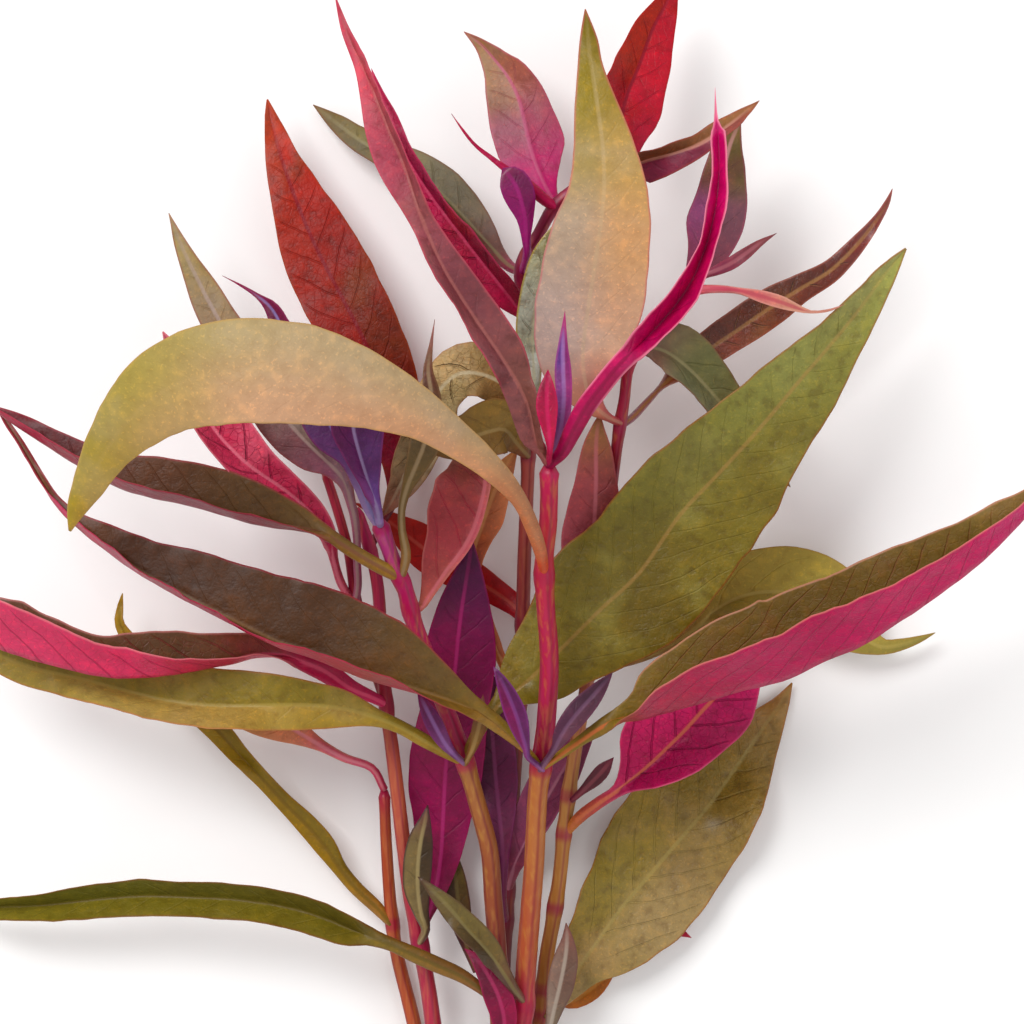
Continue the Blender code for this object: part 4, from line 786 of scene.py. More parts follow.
makeLeaf("red_orange_leaf", "short_left_stem", {
    "stations": [(369, 550, 14.4, 4), (379, 530, 11, 4), (393, 500, 7.4, 6), (398, 465, 7.4, 16, 18),
        (394, 425, 8.4, 26, 29), (382, 382, 10, 33, 36), (362, 336, 11, 38, 40), (338, 290, 10.4, 40, 42),
        (315, 245, 9.8, 36, 40), (296, 200, 9.2, 25, 30), (282, 160, 8.6, 17, 18), (272, 125, 8, 7, 10),
        (267, 97, 7)],
    "left": {0: "8c2840", 0.25: "8c1c3c", 0.5: "943028", 0.75: "a43c30", 1: "b85c48"},
    "right": {0: "7c2438", 0.25: "781c28", 0.45: "7c3420", 0.65: "943028", 0.85: "b04038", 1: "b85c48"},
    "under": {0: "a83050", 1: "c04c58"},
    "rib": "84142c", "edge": "a8583c", "vein": "6c1420", "veins": 0.35, "patchAndSheen": "804824", "mottle": 0.6,
    "relief": 0.6,
})

makeLeaf("ochre_narrow_leaf", "left_stem", {
    "stations": [(391, 924, 4.2, 4), (377, 907, 4.4, 7, 6), (356, 888, 4.6, 7), (340, 868, 4.8, 8, 7),
        (325, 846, 5.2, 11), (308, 826, 5.4, 11), (285, 803, 5.8, 9), (262, 778, 6.2, 9, 8),
        (240, 755, 6.6, 10), (220, 733, 7, 12), (195, 707, 7.4, 13), (165, 678, 7.8, 12), (138, 650, 8, 9),
        (121, 625, 8.2, 6, 4), (120, 607, 8.2, 3, 3.5), (123, 591, 8.2)],
    "left": {0: "a88048", 0.2: "947830", 0.6: "988034", 0.9: "a08838", 1: "a89040"},
    "right": {0: "a88048", 0.2: "84702c", 0.6: "8c7630", 0.9: "988034", 1: "a89040"},
    "under": {0: "a87848", 1: "a88848"},
    "rib": "7c6428", "edge": "a8803c", "vein": "a89444", "veins": 0.15, "wave": 0.15, "half": 14,
})

makeLeaf("stalked_pink_leaf", "left_stem", {
    "stations": [(384, 789, 7, 4), (372, 768, 8.4, 4), (345, 758, 9.4, 4.5), (322, 746, 9.8, 6),
        (303, 735, 10.4, 12, 10), (280, 722, 11, 20, 16), (250, 709, 11.4, 22, 17), (220, 701, 11.4, 16, 13),
        (195, 697, 11.4, 8, 7), (175, 694, 11.4)],
    "left": {0: "b83058", 0.25: "d06c84", 0.5: "cc8c6c", 0.75: "a88c54", 1: "a08848"},
    "under": {0: "c84c70", 1: "b87c60"},
    "rib": "d8949c", "edge": "c88c6c", "vein": "b07050", "veins": 0.3,
})

makeLeaf("deep_magenta_leaf", "short_left_stem", {
    "stations": [(418, 938, 8.3, 4), (428, 915, 6.8, 5), (436, 888, 6.4, 12), (441, 855, 6.6, 24, 20),
        (443, 820, 7, 30, 28), (445, 780, 8, 37, 36), (448, 740, 9.6, 35, 38), (452, 700, 11.4, 30, 38),
        (456, 660, 12.6, 32, 40), (459, 630, 13.4, 29, 36), (463, 600, 14, 22, 27), (467, 575, 14.4, 14, 17),
        (470, 555, 14.6, 7, 8), (472, 537, 14.8)],
    "left": {0: "8a2c50", 0.2: "9c2c60", 0.45: "a42464", 0.7: "9c1c60", 0.9: "641850", 1: "541848"},
    "right": {0: "8a2c50", 0.2: "902858", 0.45: "94205c", 0.7: "881858", 0.9: "641850", 1: "541848"},
    "under": {0: "a83c6c", 1: "982c60"},
    "rib": "c05088", "edge": "a83468", "vein": "601040", "veins": 0.3, "patchAndSheen": "a84878", "mottle": 0.3,
})

makeLeaf("small_striped_leaf", "short_left_stem", {
    "stations": [(418, 945, 8.1, 4), (426, 930, 11, 5, 4), (421, 912, 12.6, 8), (418, 890, 13.4, 14, 12),
        (418, 865, 13.9, 15, 14), (421, 840, 14.2, 13, 12), (425, 822, 14.3, 7, 6), (428, 804, 14.3)],
    "left": {0: "94705c", 0.3: "8c7c54", 0.7: "80704c", 1: "6c4440"},
    "right": {0: "7c5048", 0.3: "5c4c34", 0.7: "4c3c28", 1: "5c3434"},
    "under": {0: "8a6058", 1: "7c5048"},
    "rib": "a89870", "edge": "4c3030", "vein": "443420", "veins": 0.4, "rim": 0.8,
})

print("leaves of the three stems on the left made")


# leaves of the right stem
makeLeaf("tan_top_leaf", "right_stem", {
    "stations": [(622, 424, 19, 4), (606, 416, 22, 5), (592, 402, 24, 15, 13), (585, 380, 25.5, 35, 28),
        (583, 350, 27, 48, 40), (588, 310, 29.5, 53, 54), (594, 270, 31.5, 52, 54), (600, 230, 33.5, 48, 51),
        (604, 190, 34.5, 36, 44), (603, 150, 35, 30, 33), (598, 110, 35, 24, 22), (592, 70, 34.2, 15, 12),
        (588, 40, 33.2, 8.5, 10), (585, 7, 32)],
    "left": {0: "b04c58", 0.1: "bc8470", 0.28: "c0aca4", 0.5: "bca894", 0.68: "ac9864", 0.8: "988638",
        1: "7c6c1c"},
    "right": {0: "b04c58", 0.1: "b8706c", 0.28: "cca890", 0.5: "cca47c", 0.68: "b89c64", 0.8: "988440",
        1: "7c6c1c"},
    "under": {0: "b85c68", 0.5: "c88c74", 1: "a88448"},
    "rib": "c8b494", "edge": "d0707c", "vein": "b89c78", "veins": 0.08, "patchAndSheen": "c4b8b4", "mottle": 0.16,
    "relief": 0.5, "ribShow": 0.3, "soft": 0.6,
})

# the golden cloudy patches on this dark glossy leaf are painted highlights
makeLeaf("glossy_brown_leaf", "right_stem", {
    "stations": [(622, 426, 19, 3), (634, 416, 17.4, 4), (648, 401, 16, 3.5), (662, 386, 15, 3.5),
        (680, 370, 14.4, 12, 11), (705, 352, 14, 18, 16), (735, 332, 14, 20, 18), (770, 308, 14, 20, 19),
        (800, 289, 14, 15, 14), (830, 271, 13.8, 11, 12), (855, 247, 13.4, 9), (876, 221, 12.8, 5),
        (887, 203, 12.4, 3), (893, 187, 12)],
    "left": {0: "984058", 0.15: "8c4444", 0.3: "743c24", 0.6: "642c14", 0.85: "743028", 1: "7c3040"},
    "right": {0: "984058", 0.2: "ac5c50", 0.35: "94503c", 0.6: "7c3c28", 0.85: "7c3430", 1: "7c3040"},
    "under": {0: "a84c60", 1: "b86060"},
    "rib": "b08858", "edge": "bc7868", "vein": "b88850", "veins": 0.5, "patchAndSheen": "ac7c48", "mottle": 0.45,
    "gloss": 0.7, "rough": 0.3, "relief": 1.0,
})

makeLeaf("grey_olive_leaf", "right_stem", {
    "stations": [(641, 350, 21.4, 4), (652, 348, 20.4, 18, 14), (666, 352, 19.6, 32, 19),
        (682, 363, 19, 34, 17), (698, 378, 18.4, 31, 15), (716, 398, 17.8, 27, 16), (735, 422, 17.2, 24, 17),
        (755, 446, 16.6, 17, 13), (775, 468, 16, 8, 7), (791, 488, 15.6)],
    "left": {0: "8c6c60", 0.3: "74744c", 0.7: "7c7450", 1: "94806c"},
    "right": {0: "8c6c60", 0.3: "787858", 0.7: "847c58", 1: "a08c74"},
    "under": {0: "8c6060", 1: "8c7454"},
    "rib": "98906c", "edge": "8c6450", "vein": "5c5c3c", "veins": 0.3, "patchAndSheen": "90906c",
})

makeLeaf("reddish_brown_leaf", "right_stem", {
    "stations": [(590, 660, 13.8, 4), (588, 630, 16.5, 8), (589, 600, 18.5, 20), (591, 570, 19.2, 28),
        (593, 540, 19.4, 32, 30), (595, 510, 19.9, 28, 27), (596, 480, 20.4, 21), (596, 450, 20.6, 15, 16),
        (597, 432, 20.6, 8, 9), (600, 412, 20.4)],
    "left": {0: "a85c50", 0.4: "a0505c", 0.7: "9c5458", 1: "947048"},
    "right": {0: "a85c50", 0.4: "984c54", 0.7: "945050", 1: "947048"},
    "under": {0: "a84c5c", 1: "94503c"},
    "rib": "c07880", "edge": "b06068", "vein": "7c3440", "veins": 0.35,
})

makeLeaf("brown_mauve_leaf", "right_stem", {
    "stations": [(688, 291, 24.6, 3), (695, 272, 22, 10, 12), (705, 250, 20.4, 19, 24),
        (713, 225, 19.6, 27, 30), (719, 200, 19, 24, 29), (724, 170, 18.4, 20, 22), (730, 145, 17.8, 15, 13),
        (741, 119, 17)],
    "left": {0: "a83c60", 0.2: "94506c", 0.5: "94547c", 0.7: "806048", 1: "706038"},
    "right": {0: "a83c60", 0.2: "844c5c", 0.5: "7c5460", 0.7: "746040", 1: "706038"},
    "under": {0: "984868", 1: "845048"},
    "rib": "d8a4a8", "edge": "a85c70", "vein": "6c4448", "veins": 0.3,
})

makeLeaf("small_brown_leaf", "right_stem", {
    "stations": [(688, 290, 24.6, 3), (702, 277, 26.4, 3), (715, 271, 27, 5), (730, 264, 27, 6.5),
        (745, 254, 27, 6), (760, 243, 26.6, 3.5), (777, 233, 26.2)],
    "left": {0: "a82c54", 0.3: "843c54", 1: "7c4c48"},
    "under": {0: "983858", 1: "843c4c"},
    "rib": "a86c74", "edge": "98505c", "vein": "5c2c38", "veins": 0.2,
})

makeLeaf("thin_salmon_leaf", "right_stem", {
    "stations": [(683, 297, 24.2, 3), (700, 290, 26.4, 4.5), (720, 289, 27, 4), (740, 291, 27.4, 3.5),
        (760, 296, 27.6, 6), (780, 302, 27.8, 6.5), (797, 308, 27.8, 4), (812, 312, 27.6, 1.5),
        (830, 310, 27.4, 1.3), (845, 304, 27)],
    "left": {0: "b82c58", 0.25: "c8486c", 0.45: "cc7c7c", 0.7: "d09c88", 1: "bc6c60"},
    "under": {0: "c04868", 1: "c87c70"},
    "rib": "b85c68", "edge": "e0b0a0", "vein": "b06860", "veins": 0.2, "half": 11,
})

makeLeaf("pink_ribbed_leaf", "right_stem", {
    "stations": [(566, 833, 10, 4), (580, 817, 12.4, 6), (600, 802, 13.8, 6), (618, 790, 14.6, 7),
        (634, 778, 15, 22, 10), (648, 766, 15.4, 41, 18), (665, 750, 15.8, 50, 29), (685, 730, 16.2, 51, 40),
        (702, 711, 16.4, 46, 45), (720, 692, 16.6, 38, 44), (736, 676, 16.6, 27, 31),
        (752, 660, 16.4, 14, 16), (768, 644, 16.2)],
    "left": {0: "b87c48", 0.15: "bc6458", 0.3: "b03060", 0.6: "b82c64", 1: "c83c74"},
    "right": {0: "b87c48", 0.15: "b05c54", 0.3: "a02858", 0.6: "a8245c", 1: "c03470"},
    "under": {0: "8c6c3c", 1: "7c5834"},
    "rib": "c88060", "edge": "d87c94", "vein": "7c1440", "veins": 0.55, "patchAndSheen": "c85078", "mottle": 0.4,
    "relief": 0.8, "back": True,
})

makeLeaf("ochre_back_leaf", "right_stem", {
    "stations": [(588, 668, 13.8, 4), (625, 663, 11, 4), (660, 650, 9.6, 5), (690, 632, 9, 6),
        (715, 611, 8.6, 12, 8), (738, 598, 8.2, 36, 16), (765, 592, 7.8, 44, 28), (795, 594, 7.2, 47, 36),
        (822, 606, 6.4, 46, 38), (845, 624, 5.6, 38, 30), (865, 640, 5, 20, 15), (882, 647, 4.6, 9, 8),
        (900, 645, 4.2, 6.5, 6), (920, 639, 3.8, 3.5), (937, 632, 3.4)],
    "left": {0: "a8745c", 0.2: "a8845c", 0.4: "a89850", 0.7: "b0a058", 1: "988c4c"},
    "right": {0: "a8745c", 0.2: "9c8050", 0.4: "9c8c48", 0.7: "a49450", 1: "8c8448"},
    "under": {0: "a87854", 1: "a88850"},
    "rib": "b8a868", "edge": "b08c54", "vein": "94843c", "veins": 0.2, "patchAndSheen": "a88c5c",
})

makeLeaf("large_lower_leaf", "right_stem", {
    "stations": [(545, 1016, 5.6, 4), (556, 1006, 6, 6), (568, 988, 6, 14), (580, 966, 5.8, 24, 27),
        (597, 942, 5.6, 34, 46), (622, 907, 5.2, 47, 62), (647, 878, 4.8, 60, 64), (669, 852, 4.4, 67, 61),
        (690, 828, 4, 68, 56), (710, 804, 3.4, 64, 48), (730, 776, 2.8, 54, 40), (748, 750, 2.3, 36, 31),
        (765, 725, 1.9, 20), (780, 704, 1.6, 9, 10), (793, 681, 1.4)],
    "left": {0: "a8784c", 0.1: "947c44", 0.35: "8c7a34", 0.7: "8c7430", 1: "a07848"},
    "right": {0: "a8784c", 0.1: "94804c", 0.35: "a08a60", 0.7: "947c44", 1: "9c7c48"},
    "under": {0: "a87850", 0.5: "a86c54", 1: "a87c54"},
    "rib": "a89860", "edge": "a86c3c", "vein": "a89c60", "veins": 0.16, "patchAndSheen": "a88c60", "mottle": 0.5,
    "rough": 0.36, "gloss": 0.35, "relief": 1.0, "wave": 0.6, "ribShow": 0.45, "soft": 0.4,
})

makeLeaf("grey_bud_leaf", "right_stem", {
    "stations": [(540, 1050, 5.3, 4), (549, 1030, 9.6, 5), (554, 1010, 11, 8, 9), (560, 985, 11.8, 13, 14),
        (565, 960, 12, 12, 13), (567, 940, 12, 6, 7), (566, 922, 12)],
    "left": {0: "a06c6c", 0.3: "948478", 0.7: "8a7468", 1: "845850"},
    "right": {0: "a06c6c", 0.3: "7c6c5c", 0.7: "745c50", 1: "845850"},
    "under": {0: "8c5c60", 1: "7c5048"},
    "rib": "b0a498", "edge": "74504c", "vein": "5c4c44", "veins": 0.4,
})

print("leaves of the right stem made")


# leaves of the back stem
# the pale grey middle and the near-white cloudy patches are painted sheen of the water film on this leaf
makeLeaf("wet_olive_leaf", "back_stem", {
    "stations": [(529, 432, 13.5, 4), (533, 400, 18, 6), (534, 365, 21.5, 10, 8), (533, 335, 23.5, 17, 8),
        (537, 300, 25, 18), (544, 265, 26, 16, 18), (552, 240, 26.4, 10, 12), (558, 220, 26.4)],
    "left": {0: "948050", 0.3: "90906c", 0.6: "b0b4a4", 1: "94905c"},
    "right": {0: "948050", 0.3: "84845c", 0.6: "a0a48c", 1: "94905c"},
    "under": {0: "8c7048", 1: "847448"},
    "rib": "b8b498", "edge": "a8903c", "vein": "646438", "veins": 0.3, "patchAndSheen": "d0d4cc", "mottle": 0.8,
    "gloss": 0.8, "rough": 0.25, "rim": 0.9, "relief": 1.0,
})

makeLeaf("red_top_leaf", "back_stem", {
    "stations": [(627, 176, 20, 4), (622, 150, 18.6, 14, 20), (621, 125, 17.6, 24, 35),
        (626, 98, 16.4, 24, 38), (641, 60, 15, 22, 31), (652, 30, 14, 18, 24), (664, 7, 13.2, 12, 15),
        (678, -22, 12.2)],
    "left": {0: "a81c4c", 0.25: "b02040", 0.55: "a83c30", 0.8: "a83c34", 1: "a42c34"},
    "right": {0: "a81c4c", 0.25: "b81c40", 0.55: "bc2038", 0.8: "b42038", 1: "a42c34"},
    "under": {0: "b02050", 1: "c04058"},
    "rib": "841030", "edge": "b44444", "vein": "841030", "veins": 0.4, "patchAndSheen": "a04830", "mottle": 0.4,
})

makeLeaf("narrow_brown_leaf", "back_stem", {
    "stations": [(622, 178, 20.4, 4), (640, 163, 22.6, 5, 22), (660, 157, 24.4, 6, 21),
        (680, 151, 25.2, 8, 17), (700, 144, 25.6, 11, 12), (718, 133, 25.6, 12, 8), (735, 121, 25.4, 9, 6),
        (750, 109, 25, 4, 3), (760, 100, 24.6)],
    "left": {0: "983058", 0.15: "7c4c34", 0.5: "84583a", 1: "a88058"},
    "right": {0: "983058", 0.15: "8c3c58", 0.5: "843c50", 0.8: "945850", 1: "a88058"},
    "under": {0: "8c3450", 1: "94584c"},
    "rib": "c89888", "edge": "a86054", "vein": "4c2c28", "veins": 0.2,
})

makeLeaf("pink_top_leaf", "back_stem", {
    "stations": [(556, 206, 20, 4), (546, 188, 18.6, 12), (538, 170, 17.6, 26, 24), (531, 150, 16.6, 33, 35),
        (525, 125, 15.8, 35, 33), (519, 100, 15, 33, 27), (510, 80, 14.4, 28, 20), (497, 62, 13.8, 17, 11),
        (482, 45, 13.2, 8, 6), (463, 31, 12.6)],
    "left": {0: "b82470", 0.2: "bc4c80", 0.42: "b07484", 0.6: "a8806c", 0.8: "a08058", 1: "8c7040"},
    "right": {0: "b82470", 0.25: "b84878", 0.5: "b06478", 0.7: "a8604c", 0.85: "987048", 1: "8c7040"},
    "under": {0: "984060", 1: "8c6040"},
    "rib": "c06888", "edge": "c0687c", "vein": "a04868", "veins": 0.3, "patchAndSheen": "a88078", "mottle": 0.4,
    "back": True,
})

makeLeaf("thin_crimson_leaf", "back_stem", {
    "stations": [(556, 208, 20, 4), (545, 200, 21.2, 6), (525, 183, 22.4, 6), (505, 168, 22.8, 4, 3),
        (490, 157, 23, 2.5), (475, 145, 23, 1.6), (462, 129, 23, 1.2), (451, 113, 22.8)],
    "left": {0: "b01c58", 0.4: "a8184c", 1: "b03450"},
    "under": {0: "b02058", 1: "a82850"},
    "rib": "c84470", "edge": "b83860", "vein": "7c1038", "veins": 0.2,
})

makeLeaf("spoon_leaf", "back_stem", {
    "stations": [(522, 272, 18, 4), (527, 254, 22, 4), (526, 236, 24, 5), (525, 218, 25, 9),
        (521, 200, 26, 15), (516, 186, 26.4, 16), (509, 175, 26.4, 12), (502, 168, 26.4)],
    "left": {0: "a02078", 0.5: "a01878", 0.8: "8c1868", 1: "7c1850"},
    "right": {0: "a02078", 0.5: "8c1468", 0.8: "781458", 1: "7c1850"},
    "under": {0: "8c2068", 1: "741850"},
    "rib": "b04488", "edge": "a03080", "vein": "5c1048", "veins": 0.35, "gloss": 0.25, "patchAndSheen": "a02c84",
})

makeLeaf("grey_olive_top_leaf", "back_stem", {
    "stations": [(522, 273, 18, 4), (508, 265, 15.6, 6), (495, 252, 14, 8, 10), (480, 235, 12.6, 12, 18),
        (460, 213, 11, 15, 24), (437, 190, 9.6, 15, 26), (412, 171, 8.2, 14, 22), (385, 155, 6.4, 13, 16),
        (358, 139, 4.6, 12, 13), (335, 122, 3, 8, 9), (312, 104, 1.4)],
    "left": {0: "a83060", 0.15: "7c5048", 0.4: "6c6448", 0.75: "746848", 1: "806c44"},
    "right": {0: "a83060", 0.15: "806058", 0.4: "807860", 0.75: "84784c", 1: "806c44"},
    "under": {0: "8c4050", 1: "806048"},
    "rib": "948a68", "edge": "8c5c4c", "vein": "4c4830", "veins": 0.35, "patchAndSheen": "949078",
})

makeLeaf("crimson_folded_leaf", "back_stem", {
    "stations": [(526, 318, 16.6, 4), (507, 294, 20.5, 16, 11), (488, 270, 22, 20, 10),
        (467, 243, 23, 21, 9), (443, 212, 23.5, 20, 8), (423, 184, 23.5, 17, 8), (404, 152, 23.5, 13, 8),
        (391, 120, 23.5, 9, 8), (380, 95, 23, 5), (371, 67, 22.5)],
    "left": {0: "b83058", 0.3: "a82c50", 0.6: "b83c60", 1: "c85870"},
    "right": {0: "981840", 0.3: "841438", 0.6: "8c1c44", 1: "a82c50"},
    "under": {0: "a82850", 0.5: "b83a5c", 1: "c85870"},
    "rib": "c85c78", "edge": "c85c78", "vein": "6c0c30", "veins": 0.5, "patchAndSheen": "a04444", "mottle": 0.5,
    "relief": 0.9,
})

makeLeaf("tan_crinkled_leaf", "back_stem", {
    "stations": [(528, 402, 14.6, 4), (515, 392, 16, 14), (500, 382, 16.8, 22, 26), (480, 374, 17.2, 24, 32),
        (458, 374, 17, 25, 28), (438, 392, 16.2, 25, 20), (425, 418, 15, 32, 17), (415, 445, 13.8, 27, 15),
        (405, 472, 12.6, 22, 10), (394, 496, 11.6, 12, 8), (381, 518, 10.8)],
    "left": {0: "985048", 0.15: "8c6c44", 0.35: "b09c74", 0.7: "b8a888", 1: "a06c60"},
    "right": {0: "985048", 0.15: "94744c", 0.35: "bca47c", 0.7: "a89474", 1: "a06c60"},
    "under": {0: "a06854", 1: "a87864"},
    "rib": "c8bca0", "edge": "a87c5c", "vein": "8c6c48", "veins": 0.5, "patchAndSheen": "8c7444", "mottle": 0.6,
    "relief": 1.0, "wave": 0.7,
})

makeLeaf("brown_shaded_leaf", "back_stem", {
    "stations": [(528, 456, 13, 4), (518, 445, 16.5, 10, 12), (505, 430, 19.4, 22, 30),
        (488, 432, 20.8, 25, 31), (468, 438, 21.4, 22, 25), (447, 440, 21.4, 19), (425, 438, 21.2, 12),
        (402, 432, 20.8)],
    "left": {0: "845040", 0.3: "7c6034", 0.7: "745a34", 1: "6c5038"},
    "right": {0: "845040", 0.3: "846c3c", 0.7: "7c6438", 1: "6c5038"},
    "under": {0: "845040", 1: "7c5438"},
    "rib": "98845c", "edge": "7c5438", "vein": "5c4424", "veins": 0.4, "mottle": 0.4,
})

makeLeaf("orange_leaf", "back_stem", {
    "stations": [(519, 700, 4.6, 4), (506, 670, 7.5, 5), (494, 640, 9.4, 7, 5), (480, 605, 10.8, 10, 9),
        (472, 572, 11.6, 14, 9), (476, 545, 12, 17, 12), (484, 520, 12.2, 20, 19), (492, 498, 12.2, 18, 17),
        (501, 477, 12, 13, 12), (509, 462, 11.8, 7), (518, 448, 11.6)],
    "left": {0: "b87048", 0.4: "c87c50", 1: "c89468"},
    "right": {0: "b87048", 0.4: "bc6c54", 1: "c08460"},
    "under": {0: "b86048", 1: "c07450"},
    "rib": "d8a478", "edge": "d08c68", "vein": "a85840", "veins": 0.3,
})

makeLeaf("coral_back_leaf", "back_stem", {
    "stations": [(524, 622, 7, 4), (514, 606, 6.4, 10, 11), (492, 590, 6, 14), (460, 572, 5.6, 18, 20),
        (430, 553, 5.4, 21, 23), (410, 538, 5.2, 16, 20), (392, 524, 5, 9, 12), (374, 512, 5, 5, 6),
        (352, 502, 5)],
    "left": {0: "a82c38", 0.5: "b83c3c", 1: "b05044"},
    "under": {0: "a83040", 1: "b04840"},
    "rib": "c86c60", "edge": "b85048", "vein": "7c1c28", "veins": 0.4,
})

makeLeaf("mauve_low_leaf", "back_stem", {
    "stations": [(507, 892, 2.4, 4), (513, 870, 4.6, 8, 7), (524, 846, 5.4, 17, 9), (538, 817, 5.8, 24, 13),
        (552, 790, 6.2, 26, 15), (567, 765, 6.6, 22, 14), (583, 742, 7.2, 11, 9), (597, 722, 7.6)],
    "left": {0: "94505c", 0.4: "8c4868", 1: "a05c78"},
    "right": {0: "94505c", 0.4: "7c4058", 1: "8c4c68"},
    "under": {0: "7c4448", 1: "7c5048"},
    "rib": "c08898", "edge": "a86480", "vein": "5c2c48", "veins": 0.4, "back": True,
})

makeLeaf("dark_purple_leaf", "back_stem", {
    "stations": [(506, 922, 2.2, 4), (503, 900, 6.2, 4), (503, 870, 7.6, 6, 5), (502, 840, 7.4, 10),
        (499, 810, 6.6, 16, 17), (496, 780, 6, 19, 22), (494, 755, 5.8, 19, 22), (492, 730, 6, 17, 19),
        (491, 705, 6.4, 12, 13), (490, 680, 6.6, 5, 6), (489, 665, 6.8)],
    "left": {0: "84404c", 0.3: "6a2c4c", 0.7: "5c2444", 1: "6c2c54"},
    "right": {0: "84404c", 0.3: "7c3454", 0.7: "6c2850", 1: "6c2c54"},
    "under": {0: "84385c", 1: "6c2c50"},
    "rib": "945078", "edge": "84406c", "vein": "401838", "veins": 0.4,
})

print("leaves of the back stem made")

# small leaves low among the stems, beside the ones that are CAD nodes
makeLeaf("second_left_bud", "second_stem", {
    "stations": [(463, 762, 19.4, 3), (453, 753, 22.5, 4), (444, 742, 23.4, 7), (434, 724, 23.8, 9),
        (425, 706, 23.8, 6), (417, 690, 23.6)],
    "left": {0: "a888a8", 0.3: "7c4c7c", 0.7: "6c2c60", 1: "8c2450"},
    "under": {0: "8a3060", 1: "6a1c50"},
    "rib": "9470a0", "edge": "843c74", "vein": "481844", "extra": True,
})

makeLeaf("second_right_bud", "second_stem", {
    "stations": [(466, 762, 19.4, 3), (472, 750, 22, 4), (476, 738, 22.8, 6), (480, 722, 23.2, 7),
        (482, 706, 23.2, 4), (483, 694, 23)],
    "left": {0: "a07c50", 0.4: "8c6c3c", 1: "7c4c4c"},
    "under": {0: "8a5040", 1: "7c4c4c"},
    "rib": "a88c60", "edge": "844c3c", "vein": "5c4428", "extra": True,
})

makeLeaf("pink_tip_leaf", "right_stem", {
    "stations": [(604, 900, 1.5, 3), (618, 906, 1.5, 7), (645, 916, 1.5, 9), (672, 928, 1.5, 7),
        (692, 938, 1.5)],
    "left": {0: "8c4840", 0.6: "a83850", 1: "c02c4c"},
    "under": {0: "a83850", 1: "c02c4c"},
    "rib": "b85c60", "edge": "a83450", "vein": "741c30", "extra": True,
})

makeLeaf("low_ochre_leaf", "right_stem", {
    "stations": [(549, 985, 2.6, 3), (560, 1000, 2.2, 5), (574, 1000, 1.8, 9), (590, 990, 1.7, 11),
        (604, 978, 1.7, 8), (618, 966, 1.7)],
    "left": {0: "984830", 0.4: "b07030", 1: "a86c34"},
    "under": {0: "a06038", 1: "a86c34"},
    "rib": "c08c50", "edge": "a85c34", "vein": "8a5828", "extra": True,
})

makeLeaf("small_dark_leaf", "right_stem", {
    "stations": [(572, 800, 13.2, 3), (582, 791, 14, 4), (594, 780, 14.6, 7), (604, 769, 15, 7),
        (614, 757, 15.2)],
    "left": {0: "7c3448", 0.5: "5c3038", 1: "6c2c40"},
    "under": {0: "6c3040", 1: "6c3040"},
    "rib": "8c5058", "edge": "6c3440", "vein": "3c1c24", "extra": True,
})

makeLeaf("dark_middle_leaf", "second_stem", {
    "stations": [(476, 972, 4.6, 3), (468, 950, 4.4, 5), (462, 925, 4.6, 10), (458, 900, 4.9, 11, 12),
        (455, 872, 5.2, 8, 9), (452, 842, 5.4)],
    "left": {0: "6c3038", 0.4: "4c3024", 1: "5c4c28"},
    "right": {0: "6c3038", 0.4: "5c4428", 1: "74642c"},
    "under": {0: "5c3428", 1: "5c4428"},
    "rib": "7c6c44", "edge": "5c2c34", "vein": "2c2018", "extra": True,
})


# stems, which thicken where their leaves grow
makeStem("front_stem", {
    "radius": (1.65, 1.25),
    "path": [(497, 1192, 6.8), (508, 1110, 8.5), (521, 1024, 10.5), (527, 950, 12.8), (531, 900, 15),
        (534, 860, 17.6), (537, 800, 21.5), (542, 755, 24), (546, 720, 25.8), (549, 660, 28), (545, 600, 31),
        (544, 560, 32.6), (548, 520, 33.8), (549, 466, 36)],
    "colours": {0: "a8485a", 0.25: "b8485c", 0.36: "b4684c", 0.5: "b87c50", 0.585: "b4784c", 0.61: "b42c60",
        0.8: "b82c5c", 0.9: "c0505a", 1: "c83a70"},
    "streakAndSheen": "c89a58", "ridge": "8a2c48", "nodeColour": "a81850",
})

makeStem("second_stem", {
    "radius": (1.55, 1.1),
    "path": [(472, 1192, 6.8), (488, 1110, 7.2), (500, 1024, 7.6), (497, 950, 8.6), (493, 900, 10.4),
        (489, 850, 12.6), (476, 800, 15), (465, 762, 17), (450, 720, 18.6), (442, 700, 19.5),
        (428, 660, 20.8), (413, 620, 22.2), (405, 590, 23.4), (397, 572, 24.2), (387, 545, 25.4),
        (378, 520, 26.4)],
    "colours": {0: "8a3048", 0.3: "a04050", 0.42: "a46448", 0.62: "ac784c", 0.66: "b83264", 0.85: "bc3e6c",
        1: "c05a94"},
    "streakAndSheen": "c8a060", "ridge": "7a2444", "nodeColour": "b42060",
})

makeStem("left_stem", {
    "radius": (1.3, 0.8),
    "path": [(457, 1192, 2.4), (433, 1110, 2.2), (413, 1020, 2.6), (396, 950, 3.4), (390, 900, 4.4),
        (387, 860, 5.4), (385, 820, 6.4), (384, 790, 7)],
    "colours": {0: "b8584a", 0.5: "b8684c", 0.92: "b4644a", 1: "b43058"},
    "streakAndSheen": "d09868", "ridge": "8a3040", "nodeColour": "a82858",
})

makeStem("short_left_stem", {
    "radius": (1.35, 0.85),
    "path": [(448, 1192, 6.8), (443, 1110, 6.6), (431, 1010, 6.8), (421, 950, 8), (411, 900, 9.4),
        (404, 850, 10.4), (398, 800, 11.8), (392, 750, 12.8), (386, 705, 13.5), (381, 640, 14),
        (378, 590, 14.5), (370, 550, 14.8), (356, 508, 14.5)],
    "colours": {0: "a83c54", 0.35: "b84c62", 0.6: "b86a58", 0.74: "a03048", 0.86: "a82a58", 1: "bc4070"},
    "streakAndSheen": "cc9068", "ridge": "8a2848", "nodeColour": "9a1c50",
})

